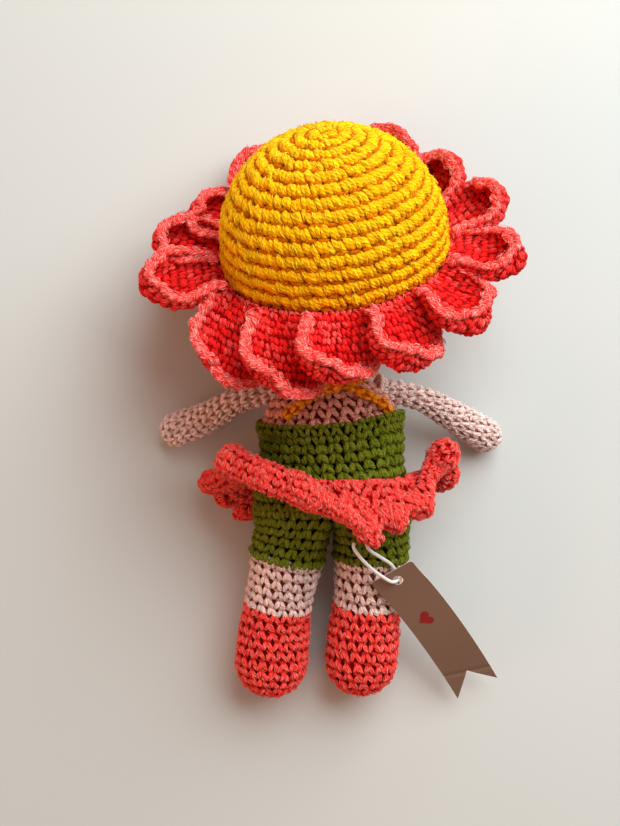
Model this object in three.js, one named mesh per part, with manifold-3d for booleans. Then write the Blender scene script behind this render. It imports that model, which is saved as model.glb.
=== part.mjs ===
// A crocheted doll in a flower hat, lying face down on a table. Sizes are in millimetres.
// +Z is up from the table, +Y runs from the feet to the head and +X to the right, seen from above.
// The origin is the middle of the flat patch that the belly rests on.
import * as THREE from "three";
import { mergeVertices } from "three/addons/utils/BufferGeometryUtils.js";
import Module from "manifold-3d";

const wasm = await Module();
wasm.setup();

// Driving dimensions
const gap = 0.3; // left between neighbouring pieces
const fabric = 3; // thickness of the crocheted fabric
const overrun = 60; // how far a cutter runs past what it cuts
const fullTurn = THREE.MathUtils.radToDeg(2 * Math.PI); // degrees

// The body, from the crotch to the foot of the neck
const bodyLength = 73;
const crotchToBelly = 44;
const bodyHalfWidth = 32.4;
const bodyHalfDepth = 27.8;
const crotchToRomperTop = 50;
const crotchToChestTop = 71;
const cuffHeight = 6;
const bodySides = 22;
// Each row: shares of the body's length from the crotch, of its half width, of its half depth, and of that
// half depth again for the height of the section's middle
const bodyShares = [
  [0.0, 0.7, 0.52, 1.01],
  [0.035, 0.88, 0.75, 1.04],
  [0.11, 0.975, 0.875, 1.075],
  [0.22, 1.0, 0.905, 1.085],
  [0.33, 0.975, 0.925, 1.1],
  [0.418, 0.94, 0.905, 1.078],
  [0.507, 0.923, 0.957, 1.0],
  [0.56, 0.917, 1.0, 0.982],
  [0.685, 0.914, 1.0, 0.982],
  [0.767, 0.864, 0.95, 0.982],
  [0.849, 0.772, 0.827, 1.014],
  [0.918, 0.625, 0.675, 1.07],
  [0.973, 0.46, 0.51, 1.115],
  [1.0, 0.36, 0.42, 1.14],
];

// The neck and the head
const neckSetIn = 2; // from the body's top down to the neck's ball
const neckHeight = 31.3;
const neckFoot = new THREE.Vector3(0, bodyLength - neckSetIn - crotchToBelly, neckHeight);
const headShift = 0.5;
const headReach = 56.2; // from the neck's ball to the head's middle, along the table
const headHeight = 46.5;
const headMiddle = new THREE.Vector3(headShift, neckFoot.y + headReach, headHeight);
const neckRadius = 11;
const neckBall = 11.4;
const neckReach = 1; // how far the neck's end stands inside the head
const headRadius = 42;
const headSides = 22;
const nodLimits = [-10, 12];

// The face: safety eyes and a stitched mouth
const eyeRadius = 4;
const eyeDome = 2;
const eyePost = 1.4;
const eyePostLength = 7.4;
const washerRadius = 4.6;
const washerThickness = 1.2;
const eyeTurn = 19; // degrees to each side of the face's middle
const eyeDrop = 9; // degrees below the middle, towards the neck
const mouthTurn = 8;
const mouthDrop = 27;
const mouthSag = 4;
const mouthYarn = 0.8;

// The hat
const hatRadius = 46; // outside of the dome
const hatWall = 3.4;
const hatSides = 28;
const brimDrop = 8; // from the dome's centre to the last yellow round
const hatLean = 57; // degrees that the hat's axis leans from the vertical, towards +Y
const hatTurn = 8; // degrees that it is turned about the vertical
const bandHeight = 4;
const bandWidth = 4;
const petalCount = 14;
const petalLength = 28;
const petalHalfWidth = 12.2;
const petalThickness = 3.4;
const petalCup = 5; // how far the rim rises over the middle of the petal
const firstPetal = 163; // degrees round the brim from +X
const petalSteps = 6;
const petalLanes = 6;
// Each petal, from the left side over the forehead to the nape: degrees of lean, droop and roll,
// and its share of the length
const petals = [
  [-1, -13, -12, 1.03],
  [8, -21, -6, 0.96],
  [12, -46, 0, 1.05],
  [4, -56, 0, 1.0],
  [-1, -50, 0, 1.05],
  [1, -32, -4, 0.98],
  [10, -14, 4, 1.0],
  [-8, 5, 4, 1.02],
  [-15, 23, -4, 0.97],
  [-18, 34, -16, 0.95],
  [-14, 36, -18, 0.95],
  [-4, 47, -18, 1.0],
  [12, 43, -16, 1.03],
  [-7, -4, -18, 1.07],
];

// The straps: yarn cords over the back and round the neck
const strapRadius = 1.7;
const strapSides = 8;
const strapSteps = 26;
// Each point: share of the body's length, degrees round the body from +X, distance over its surface in radii
const strapRoutes = {
  left_strap: [
    [0.792, 123, 1.3],
    [0.85, 113, 1.3],
    [0.895, 102, 2.2],
    [0.93, 84, 4.3],
    [0.975, 54, 3.2],
    [1.015, 25, 1.8],
    [1.02, 0, 1.7],
    [1.015, -25, 1.8],
    [0.975, -44, 1.9],
    [0.9, -52, 1.4],
    [0.8, -50, 1.3],
  ],
  right_strap: [
    [0.792, 38, 1.3],
    [0.835, 46, 1.3],
    [0.88, 57, 1.3],
    [0.925, 72, 1.3],
    [0.955, 98, 1.3],
    [0.985, 130, 1.6],
    [1.015, 158, 1.7],
    [1.02, 180, 1.7],
    [1.015, 205, 1.8],
    [0.975, 224, 1.9],
    [0.9, 232, 1.4],
    [0.8, 230, 1.3],
  ],
};

// The arms
const armFabric = 2.4;
const shoulderBall = 5.2;
const armSides = 10;
const seamYarn = 1.5;
const seamSetBack = 3; // from the shoulder's middle towards the body
const armOpening = 3.4; // radius of the open end that is sewn to the body
// Each route: the shoulder's middle, two bends and the middle of the hand. Each point: share of the body's
// half width, of its length from the crotch and of its half depth
const armRouteShares = {
  left: [
    [-0.664, 0.912, 1.06],
    [-1.17, 0.858, 0.9],
    [-1.635, 0.753, 0.54],
    [-2.035, 0.685, 0.288],
  ],
  right: [
    [0.664, 0.912, 1.06],
    [1.17, 0.858, 0.88],
    [1.605, 0.76, 0.54],
    [2.035, 0.652, 0.274],
  ],
};
// Share of the route, and radius there
const armRadius = 7.6;
const armRadiusShares = [
  [0.0, 0.68],
  [0.25, 0.7],
  [0.5, 0.82],
  [0.75, 0.94],
  [1.0, 1.0],
];

// The legs
const legRadius = 15.4;
const hipBall = 15.2;
const legSides = 16;
const hemShare = 0.22;
const shoeShare = 0.58;
const hipFlex = 75; // degrees of room for the leg, more than its joint turns
const legSag = 12; // degrees that the bent leg itself droops below its hip
// Each route: the hip's middle, the knee, the ankle and the middle of the shoe's end. Each point: share of
// the body's half width, of its length from the crotch and of the leg's radius
const legRouteShares = {
  left: [
    [-0.512, 0.11, 1.558],
    [-0.617, -0.137, 1.364],
    [-0.722, -0.397, 1.104],
    [-0.784, -0.658, 0.968],
  ],
  right: [
    [0.512, 0.11, 1.558],
    [0.491, -0.137, 1.364],
    [0.438, -0.397, 1.13],
    [0.389, -0.647, 1.0],
  ],
};
const legRadiusShares = [
  [0.0, 0.987],
  [0.2, 1.01],
  [0.35, 0.95],
  [0.6, 0.93],
  [0.8, 0.99],
  [1.0, 1.0],
];

// The skirt: a ring of cloth whose hem is drawn out into petal tips
const skirtThickness = 3;
const skirtTip = 9; // thickness of the curled tips
const skirtValleyShare = 0.72;
const skirtColumns = 4;
const skirtRows = 5;
const skirtBulge = 2.4;
const crotchToWaist = 30;
// Each petal: degrees round the waist from +X, and its tip at shares of the body's half width, of its length
// from the crotch and of its half depth
const skirtTipShares = [
  [-12, 1.51, 0.37, 0.865],
  [14, 1.545, 0.535, 1.295],
  [40, 1.205, 0.22, 1.69],
  [62, 0.8, 0.15, 2.015],
  [80, 0.415, 0.075, 2.175],
  [97, -0.03, 0.165, 2.23],
  [115, -0.465, 0.275, 2.25],
  [138, -0.955, 0.34, 1.98],
  [164, -1.435, 0.52, 1.365],
  [190, -1.775, 0.34, 0.29],
  [213, -1.545, 0.21, 0.18],
  [238, -1.205, 0.13, 0.145],
  [268, -0.37, 0.095, 0.11],
  [298, 0.4, 0.095, 0.11],
  [326, 1.02, 0.15, 0.145],
];

// The tag and its string
const tagWidth = 19.5;
const tagThickness = 0.5;
const tagLength = 72;
const tagTail = 8; // depth of the swallowtail's notch
const tagHole = 2.2;
const tagHoleInset = 5;
// The middle of the tag's near left corner: share of the body's half width, of its length and of its half depth
const tagCornerShares = [0.4815, -0.167, 1.374];
const tagAcross = new THREE.Vector3(0.842, 0.498, 0.205); // directions, one long
const tagAlong = new THREE.Vector3(0.532, -0.74, -0.412);
const stringRadius = 0.7;
const stringSides = 8;
const stringSteps = 38;
// The string's route: out from under the skirt, through the tag's hole and back, twice
const stringRoute = [
  [8.4, -38.4, 53.6],
  [8.3, -40.6, 53.8],
  [11.4, -45, 51.4],
  [16, -49.8, 46.4],
  [20.8, -53.6, 42.2],
  [24.4, -55.6, 39.9],
  [26.9, -54.9, 36.4],
  [26.3, -52.2, 35.4],
  [23.8, -48.6, 37.6],
  [19.5, -45.3, 43],
  [15.8, -42.6, 48.6],
  [13.8, -40.4, 52.6],
  [13.4, -38.4, 53.4],
];

// Materials, one look for each yarn
function yarn(color) {
  return new THREE.MeshStandardMaterial({ color, roughness: 0.95, metalness: 0 });
}
const yellowYarn = yarn(0xf2b20f);
const coralYarn = yarn(0xe8635a);
const skinYarn = yarn(0xddb3a0);
const greenYarn = yarn(0x6f9a2c);
const orangeYarn = yarn(0xe99a1c);
const seamYarnLook = yarn(0xd3a793);
const mouthYarnLook = yarn(0xb5483f);
const fibre = yarn(0xf4f1ea);
const eyePlastic = new THREE.MeshStandardMaterial({ color: 0x1b1716, roughness: 0.2, metalness: 0 });
const washerPlastic = new THREE.MeshStandardMaterial({ color: 0xe9e7e0, roughness: 0.5, metalness: 0 });
const kraftPaper = new THREE.MeshStandardMaterial({ color: 0x9a7d63, roughness: 0.85, metalness: 0 });
const cottonString = new THREE.MeshStandardMaterial({ color: 0xf3f1ee, roughness: 0.8, metalness: 0 });

const doll = new THREE.Group();

function addPiece(name, geometry, material, parent = doll) {
  const mesh = new THREE.Mesh(geometry, material);
  mesh.name = name;
  parent.add(mesh);
  return mesh;
}

// Solids for cutting and joining
function toSolid(geometry) {
  const bare = new THREE.BufferGeometry();
  bare.setAttribute("position", geometry.getAttribute("position"));
  if (geometry.index) bare.setIndex(geometry.index);
  const merged = mergeVertices(bare, gap / 1000);
  return new wasm.Manifold(
    new wasm.Mesh({
      numProp: 3,
      vertProperties: merged.getAttribute("position").array,
      triVerts: new Uint32Array(merged.index.array),
    }),
  );
}

function toGeometry(solid) {
  const mesh = solid.getMesh();
  const geometry = new THREE.BufferGeometry();
  geometry.setAttribute("position", new THREE.BufferAttribute(mesh.vertProperties, mesh.numProp));
  geometry.setIndex(new THREE.BufferAttribute(mesh.triVerts, 1));
  return geometry;
}

function cut(geometry, cutters) {
  let solid = toSolid(geometry);
  for (const cutter of cutters) solid = solid.subtract(toSolid(cutter));
  return toGeometry(solid);
}

// Everything under the table top, for pressing a flat
function tableCutter() {
  const side = bodyLength + 4 * overrun;
  return new THREE.BoxGeometry(side, side, overrun).translate(0, 0, -overrun / 2);
}

// A smooth value from a table of rows that start with a share
function fromTable(rows, share, column) {
  let row = 1;
  while (row < rows.length - 1 && share > rows[row][0]) row += 1;
  const [before, after] = [rows[row - 1], rows[row]];
  const way = THREE.MathUtils.clamp((share - before[0]) / (after[0] - before[0]), 0, 1);
  return THREE.MathUtils.lerp(before[column], after[column], way);
}

// A closed skin over rings of points: each ring is joined to the next, and the ends are closed by fans,
// or the last ring is joined to the first when the skin is a loop
function skinOver(rings, loop = false) {
  const sides = rings[0].length;
  const positions = rings.flat().flatMap((point) => [point.x, point.y, point.z]);
  const faces = [];
  const joins = loop ? rings.length : rings.length - 1;
  for (let ring = 0; ring < joins; ring += 1) {
    const near = ring * sides;
    const far = ((ring + 1) % rings.length) * sides;
    for (let side = 0; side < sides; side += 1) {
      const next = (side + 1) % sides;
      faces.push([near + side, near + next, far + next], [near + side, far + next, far + side]);
    }
  }
  if (!loop) {
    for (const [ring, turned] of [[0, true], [rings.length - 1, false]]) {
      const middle = new THREE.Vector3();
      for (const point of rings[ring]) middle.addScaledVector(point, 1 / sides);
      const hub = positions.length / 3;
      positions.push(middle.x, middle.y, middle.z);
      for (let side = 0; side < sides; side += 1) {
        const here = ring * sides + side;
        const next = ring * sides + ((side + 1) % sides);
        faces.push(turned ? [hub, next, here] : [hub, here, next]);
      }
    }
  }
  return facingOut(positions, faces);
}

// The geometry of these faces, turned round together if their skin is inside out
function facingOut(positions, faces) {
  const corner = (index) => new THREE.Vector3().fromArray(positions, index * 3);
  let volume = 0;
  for (const [a, b, c] of faces) volume += corner(a).dot(corner(b).cross(corner(c)));
  const turned = volume < 0 ? faces.map(([a, b, c]) => [a, c, b]) : faces;
  const geometry = new THREE.BufferGeometry();
  geometry.setAttribute("position", new THREE.Float32BufferAttribute(positions, 3));
  geometry.setIndex(turned.flat());
  return geometry;
}

// A profile turned about Y, with its faces outwards
function turnedSkin(profile, sides) {
  const lathe = new THREE.LatheGeometry(profile, sides);
  const index = Array.from(lathe.index.array);
  const faces = Array.from({ length: index.length / 3 }, (_, face) => index.slice(face * 3, face * 3 + 3));
  return facingOut(Array.from(lathe.getAttribute("position").array), faces);
}

// The body: its section at a distance from the crotch, drawn in by an inset
function bodySection(distance, inset) {
  const share = distance / bodyLength;
  return {
    y: distance - crotchToBelly,
    width: bodyHalfWidth * fromTable(bodyShares, share, 1) - inset,
    depth: bodyHalfDepth * fromTable(bodyShares, share, 2) - inset,
    height: bodyHalfDepth * fromTable(bodyShares, share, 3),
  };
}

function bodyPoint(distance, degrees, inset) {
  const section = bodySection(distance, inset);
  const angle = THREE.MathUtils.degToRad(degrees);
  return new THREE.Vector3(
    section.width * Math.cos(angle),
    section.y,
    section.height + section.depth * Math.sin(angle),
  );
}

function bodyRing(distance, inset) {
  return Array.from({ length: bodySides }, (_, side) => bodyPoint(distance, (side * fullTurn) / bodySides, inset));
}

function bodyRings(from, to, inset) {
  const between = bodyShares.map((row) => row[0] * bodyLength).filter((d) => d > from + gap && d < to - gap);
  return [from, ...between, to].map((distance) => bodyRing(distance, inset));
}

function ballAt(middle, radius) {
  return new THREE.SphereGeometry(radius, 18, 12).translate(middle.x, middle.y, middle.z);
}

// The place at shares of the body's half width and of its length from the crotch, at a height over the table
function besideBody(widthShare, lengthShare, height) {
  return new THREE.Vector3(widthShare * bodyHalfWidth, lengthShare * bodyLength - crotchToBelly, height);
}

function armPoints(name) {
  return armRouteShares[name].map(([wide, long, high]) => besideBody(wide, long, high * bodyHalfDepth));
}

function legPoints(name) {
  return legRouteShares[name].map(([wide, long, high]) => besideBody(wide, long, high * legRadius));
}

// The hips: where each leg's ball sits, and the room that a bending leg sweeps
const hips = {
  left: legPoints("left")[0],
  right: legPoints("right")[0],
};
const sweepSides = 14;
const sweepRadius = legRadius / Math.cos(Math.PI / sweepSides) + 2 * gap;
function legSweep(hip) {
  const cutters = [ballAt(hip, hipBall + 2 * gap)];
  for (let stop = 0; stop <= 4; stop += 1) {
    const flex = ((hipFlex + legSag) * stop) / 4;
    const shank = new THREE.CylinderGeometry(sweepRadius, sweepRadius, overrun, sweepSides);
    shank.translate(0, -overrun / 2, 0);
    shank.rotateX(THREE.MathUtils.degToRad(flex));
    cutters.push(shank.translate(hip.x, hip.y, hip.z));
  }
  return cutters;
}

// The neck's axis, and pieces turned on it
const neckAxis = headMiddle.clone().sub(neckFoot);
const neckToHead = neckAxis.length();
neckAxis.normalize();
const upright = new THREE.Vector3(0, 1, 0);
const alongNeck = new THREE.Quaternion().setFromUnitVectors(upright, neckAxis);

function neckSweep() {
  const cutters = [ballAt(neckFoot, neckBall + 2 * gap)];
  for (const nod of [0, ...nodLimits]) {
    const shank = new THREE.CylinderGeometry(neckRadius + 3 * gap, neckRadius + 3 * gap, overrun, 20);
    shank.translate(0, overrun / 2, 0).applyQuaternion(alongNeck);
    shank.rotateX(THREE.MathUtils.degToRad(nod));
    cutters.push(shank.translate(neckFoot.x, neckFoot.y, neckFoot.z));
  }
  return cutters;
}

const seamReach = shoulderBall + gap + seamYarn; // from the shoulder's middle to the middle of the yarn
const shoulderSocket = seamReach + seamYarn + 2 * gap;
const shoulders = {
  left: armPoints("left")[0],
  right: armPoints("right")[0],
};
const shoulderSockets = [ballAt(shoulders.left, shoulderSocket), ballAt(shoulders.right, shoulderSocket)];

// Romper: the green body, open at the top, with a socket for each leg
const romperSkin = skinOver([
  ...bodyRings(fabric, crotchToRomperTop, fabric),
  ...bodyRings(0, crotchToRomperTop, 0).reverse(),
]);
addPiece("romper", cut(romperSkin, [...legSweep(hips.left), ...legSweep(hips.right), tableCutter()]), greenYarn);

// Chest: the skin-coloured top, open at the neck
const chestFoot = crotchToRomperTop + gap;
const chestSkin = skinOver(
  [
    ...bodyRings(chestFoot, crotchToChestTop, fabric + gap),
    ...bodyRings(chestFoot, crotchToChestTop, gap).reverse(),
  ],
  true,
);
addPiece("chest", cut(chestSkin, [...neckSweep(), ...shoulderSockets, tableCutter()]), skinYarn);

// Cuff: the romper's proud top edge, round the foot of the chest
const cuffSkin = skinOver(
  [
    bodyRing(chestFoot, 0),
    bodyRing(chestFoot + cuffHeight, 0),
    bodyRing(chestFoot + cuffHeight, -0.7 * fabric),
    bodyRing(chestFoot + cuffHeight / 2, -0.9 * fabric),
    bodyRing(chestFoot, -0.3 * fabric),
  ],
  true,
);
addPiece("romper_cuff", cut(cuffSkin, [tableCutter()]), greenYarn);

// Stuffing: fills the body between the round tops of the legs and the foot of the neck
const fillFoot = hips.left.y + hipBall + 2 * gap + crotchToBelly;
const fillTop = neckFoot.y - neckBall - 2 * gap + crotchToBelly;
addPiece("body_stuffing", skinOver(bodyRings(fillFoot, fillTop, fabric + 2 * gap)), fibre);

// Neck: a tube with a round foot in the chest, whose end stands in the head
const neckLength = neckToHead - headRadius + fabric + neckReach;
function neckProfile(radius, ball, length) {
  const points = [];
  for (let step = 0; step <= 4; step += 1) {
    const angle = (step / 4) * (Math.PI / 2) * 0.86;
    points.push(new THREE.Vector2(ball * Math.sin(angle), -ball * Math.cos(angle)));
  }
  points.push(new THREE.Vector2(radius, ball / 4), new THREE.Vector2(radius, length));
  return points;
}
const neckOutside = neckProfile(neckRadius, neckBall, neckLength);
const neckInside = neckProfile(neckRadius - fabric, neckBall - fabric, neckLength).reverse();
const neckTube = turnedSkin([...neckOutside, ...neckInside], 18);
const neckPiece = addPiece("neck", neckTube, skinYarn);
const neckCore = neckProfile(neckRadius - fabric - gap, neckBall - fabric - gap, neckLength - gap);
const neckFill = turnedSkin([...neckCore, new THREE.Vector2(0, neckLength - gap)], 16);
const neckStuffing = addPiece("neck_stuffing", neckFill, fibre);
for (const piece of [neckPiece, neckStuffing]) {
  piece.position.copy(neckFoot);
  piece.quaternion.copy(alongNeck);
}

// Head: a ball of fabric round its stuffing, with a hole for the neck. It is made round its own middle,
// with +Y along the neck and -Z to the face.
const head = new THREE.Group();
head.position.copy(headMiddle);
head.quaternion.copy(alongNeck);
doll.add(head);

function ballProfile(radius, opening) {
  const last = Math.PI - Math.asin(opening / radius);
  const steps = 11;
  return Array.from({ length: steps + 1 }, (_, step) => {
    const angle = (step / steps) * last;
    return new THREE.Vector2(step ? radius * Math.sin(angle) : 0, radius * Math.cos(angle));
  });
}
const headOpening = neckRadius + gap;
const headProfile = [
  ...ballProfile(headRadius - fabric, headOpening),
  ...ballProfile(headRadius, headOpening).reverse(),
];

// A place on the face, turned out of it: degrees to the side and below its middle
function onFace(geometry, distance, side, below) {
  const turn = new THREE.Euler(
    THREE.MathUtils.degToRad(90 - below),
    THREE.MathUtils.degToRad(side),
    0,
    "YXZ",
  );
  geometry.translate(0, -distance, 0);
  return geometry.applyQuaternion(new THREE.Quaternion().setFromEuler(turn));
}
const eyeSides = { left: 1, right: -1 };
const headCutters = [];
const fillCutters = [];
for (const [name, side] of Object.entries(eyeSides)) {
  const domeFoot = headRadius + gap;
  const eyeProfile = [
    new THREE.Vector2(0, -eyeDome),
    new THREE.Vector2(eyeRadius * 0.55, -eyeDome * 0.82),
    new THREE.Vector2(eyeRadius * 0.88, -eyeDome * 0.42),
    new THREE.Vector2(eyeRadius, 0),
    new THREE.Vector2(eyeRadius - gap, gap),
    new THREE.Vector2(eyePost, gap),
    new THREE.Vector2(eyePost, eyePostLength),
    new THREE.Vector2(0, eyePostLength),
  ];
  const eye = turnedSkin(eyeProfile, 16);
  addPiece(name + "_eye", onFace(eye, domeFoot + eyeDome / 2, side * eyeTurn, eyeDrop), eyePlastic, head);

  const washerProfile = [
    new THREE.Vector2(eyePost + gap, 0),
    new THREE.Vector2(washerRadius, 0),
    new THREE.Vector2(washerRadius, washerThickness),
    new THREE.Vector2(eyePost + gap, washerThickness),
    new THREE.Vector2(eyePost + gap, 0),
  ];
  const washerAt = headRadius - fabric - 4 * gap;
  const washer = turnedSkin(washerProfile, 16);
  addPiece(name + "_eye_washer", onFace(washer, washerAt, side * eyeTurn, eyeDrop), washerPlastic, head);

  const hole = new THREE.CylinderGeometry(eyePost + gap, eyePost + gap, overrun / 2, 12);
  headCutters.push(onFace(hole, headRadius, side * eyeTurn, eyeDrop));
  const recess = new THREE.CylinderGeometry(washerRadius + gap, washerRadius + gap, 2 * washerAt, 16);
  recess.translate(0, washerAt - eyePostLength, 0);
  fillCutters.push(onFace(recess, 2 * washerAt, side * eyeTurn, eyeDrop));
}
addPiece("head", cut(turnedSkin(headProfile, headSides), headCutters), skinYarn, head);
const fillRadius = headRadius - fabric - 2 * gap;
const fillProfile = ballProfile(fillRadius, neckRadius);
const headFill = turnedSkin([...fillProfile, new THREE.Vector2(0, fillProfile.at(-1).y)], headSides);
addPiece("head_stuffing", cut(headFill, fillCutters), fibre, head);

const mouthPoints = [-1, -0.5, 0, 0.5, 1].map((share) => {
  const spot = new THREE.Vector3(0, -(headRadius + gap + mouthYarn), 0);
  const turn = new THREE.Euler(
    THREE.MathUtils.degToRad(90 - mouthDrop + mouthSag * share * share),
    THREE.MathUtils.degToRad(mouthTurn * share),
    0,
    "YXZ",
  );
  return spot.applyQuaternion(new THREE.Quaternion().setFromEuler(turn));
});
addPiece("mouth_stitch", tubeAlong(mouthPoints, mouthYarn, 6, 8), mouthYarnLook, head);

// A yarn or string of a radius along points
function tubeAlong(points, radius, sides, steps) {
  const section = new THREE.Shape();
  for (let side = 0; side < sides; side += 1) {
    const angle = (side / sides) * 2 * Math.PI;
    if (side) section.lineTo(radius * Math.cos(angle), radius * Math.sin(angle));
    else section.moveTo(radius, 0);
  }
  section.closePath();
  return new THREE.ExtrudeGeometry(section, { steps, extrudePath: new THREE.CatmullRomCurve3(points) });
}

// The hat, made round its dome's middle with +Z to the crown, +Y to the forehead and +X to the right
const hat = new THREE.Group();
hat.position.copy(headMiddle);
hat.rotation.set(THREE.MathUtils.degToRad(-hatLean), 0, THREE.MathUtils.degToRad(hatTurn), "ZXY");
doll.add(hat);

function domeProfile(radius) {
  const steps = 8;
  const arc = Array.from({ length: steps + 1 }, (_, step) => {
    const angle = (step / steps) * (Math.PI / 2);
    return new THREE.Vector2(step ? radius * Math.sin(angle) : 0, radius * Math.cos(angle));
  });
  return [...arc, new THREE.Vector2(radius, -brimDrop)];
}
const crown = turnedSkin([...domeProfile(hatRadius - hatWall), ...domeProfile(hatRadius).reverse()], hatSides);
addPiece("hat_crown", crown.rotateX(Math.PI / 2), yellowYarn, hat);

const bandTop = -brimDrop - gap;
const bandInside = hatRadius - hatWall;
const bandOutside = bandInside + bandWidth;
const bandProfile = [
  new THREE.Vector2(bandInside, bandTop),
  new THREE.Vector2(bandInside, bandTop - bandHeight),
  new THREE.Vector2(bandOutside - gap, bandTop - bandHeight),
  new THREE.Vector2(bandOutside, bandTop - bandHeight / 2),
  new THREE.Vector2(bandOutside - gap, bandTop),
  new THREE.Vector2(bandInside, bandTop),
];
addPiece("hat_brim_band", turnedSkin(bandProfile, hatSides).rotateX(Math.PI / 2), coralYarn, hat);

// One petal: a spoon of cloth that starts on the band's outside, lies along +X and is hollow towards +Z
const petalRootShare = 0.8; // of the petal's width, where it leaves the band

function petalPoint(along, across, side, { lean, roll, length }) {
  const round = Math.sqrt(Math.max(0, 1 - Math.pow(Math.max(0, along - 0.5) / 0.52, 2.4)));
  const widen = petalRootShare + (1 - petalRootShare) * Math.min(1, along / 0.5);
  const flatness = (1 - Math.pow(Math.abs(across), 2.2)) * (1 - Math.pow(Math.max(0, along - 0.5) / 0.5, 2.2));
  const cup = petalCup * (1 - flatness) * Math.min(1, along / 0.35);
  const twist = roll * Math.min(1, along / 0.6);
  const lift = cup + (side * petalThickness) / 2;
  const reach = across * petalHalfWidth * widen * round;
  const hollow = ((1 - along) * reach ** 2) / (2 * bandOutside); // the root is hollowed to fit the band
  return new THREE.Vector3(
    length * along * Math.cos(lean) - hollow,
    reach * Math.cos(twist) - lift * Math.sin(twist) + length * along * Math.sin(lean),
    reach * Math.sin(twist) + lift * Math.cos(twist),
  );
}
function petalSkin(bends) {
  const lanes = Array.from({ length: petalLanes + 1 }, (_, lane) => (2 * lane) / petalLanes - 1);
  const rings = Array.from({ length: petalSteps + 1 }, (_, step) => [
    ...lanes.map((across) => petalPoint(step / petalSteps, across, 1, bends)),
    ...lanes.toReversed().map((across) => petalPoint(step / petalSteps, across, -1, bends)),
  ]);
  return skinOver(rings);
}
hat.updateMatrix();
const tableUnderHat = tableCutter().applyMatrix4(hat.matrix.clone().invert());
petals.forEach((degrees, index) => {
  const [lean, droop, roll] = degrees.slice(0, 3).map(THREE.MathUtils.degToRad);
  const around = THREE.MathUtils.degToRad(firstPetal - (index * fullTurn) / petalCount);
  const petal = petalSkin({ lean, roll, length: petalLength * degrees[3] });
  const rootDistance = bandOutside + 2 * gap + (petalThickness / 2) * Math.abs(Math.sin(droop));
  petal.rotateY(droop).translate(rootDistance, 0, bandTop - bandHeight / 2).rotateZ(around);
  const number = String(index + 1).padStart(2, "0");
  addPiece("petal_" + number, cut(petal, [tableUnderHat]), coralYarn, hat);
});

// Straps, held to the body all along
for (const [name, route] of Object.entries(strapRoutes)) {
  const points = route.map(([share, degrees, radii]) =>
    bodyPoint(share * bodyLength, degrees, -gap - radii * strapRadius),
  );
  addPiece(name, tubeAlong(points, strapRadius, strapSides, strapSteps), orangeYarn);
}

// A limb: rings square to its route, with the radius from its table and a round end
function limbRing(curve, share, radius, sides) {
  const middle = curve.getPointAt(THREE.MathUtils.clamp(share, 0, 1));
  const along = curve.getTangentAt(THREE.MathUtils.clamp(share, 0, 1));
  middle.addScaledVector(along, (share - THREE.MathUtils.clamp(share, 0, 1)) * curve.getLength());
  const across = new THREE.Vector3(0, 0, 1).cross(along).normalize();
  const up = along.clone().cross(across);
  return Array.from({ length: sides }, (_, side) => {
    const angle = (side / sides) * 2 * Math.PI;
    return middle
      .clone()
      .addScaledVector(across, radius * Math.cos(angle))
      .addScaledVector(up, radius * Math.sin(angle));
  });
}

// Rings of a round end beyond the route's end, from the full radius down to an opening
function endRings(curve, share, direction, radius, opening, sides, steps) {
  const last = Math.acos(opening / radius);
  return Array.from({ length: steps }, (_, step) => {
    const angle = (last * (step + 1)) / steps;
    const beyond = share + (direction * radius * Math.sin(angle)) / curve.getLength();
    return limbRing(curve, beyond, radius * Math.cos(angle), sides);
  });
}

// Arms: a bag of fabric, open at the shoulder where it is sewn on, and its stuffing
for (const name of ["left", "right"]) {
  const curve = new THREE.CatmullRomCurve3(armPoints(name));
  const radiusAt = (share, inset) => armRadius * fromTable(armRadiusShares, share, 1) - inset;
  const bag = (inset, opening) => {
    const root = radiusAt(0, inset);
    const hand = radiusAt(1, inset);
    const middle = armRadiusShares.map(([share]) => limbRing(curve, share, radiusAt(share, inset), armSides));
    return [
      ...endRings(curve, 0, -1, root, opening, armSides, 2).reverse(),
      ...middle,
      ...endRings(curve, 1, 1, hand, hand / 4, armSides, 3),
    ];
  };
  const outside = bag(0, armOpening);
  const inside = bag(armFabric, armOpening / 3);
  addPiece(name + "_arm", cut(skinOver([...outside.reverse(), ...inside]), [tableCutter()]), skinYarn);
  addPiece(name + "_arm_stuffing", skinOver(bag(armFabric + gap, armOpening / 4)), fibre);

  const tangent = curve.getTangentAt(0);
  const seamMiddle = shoulders[name].clone().addScaledVector(tangent, -seamSetBack);
  const seam = new THREE.TorusGeometry(Math.sqrt(seamReach ** 2 - seamSetBack ** 2), seamYarn, 6, 16);
  seam.applyQuaternion(new THREE.Quaternion().setFromUnitVectors(new THREE.Vector3(0, 0, 1), tangent));
  addPiece(name + "_shoulder_seam", seam.translate(seamMiddle.x, seamMiddle.y, seamMiddle.z), seamYarnLook);
}

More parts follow.
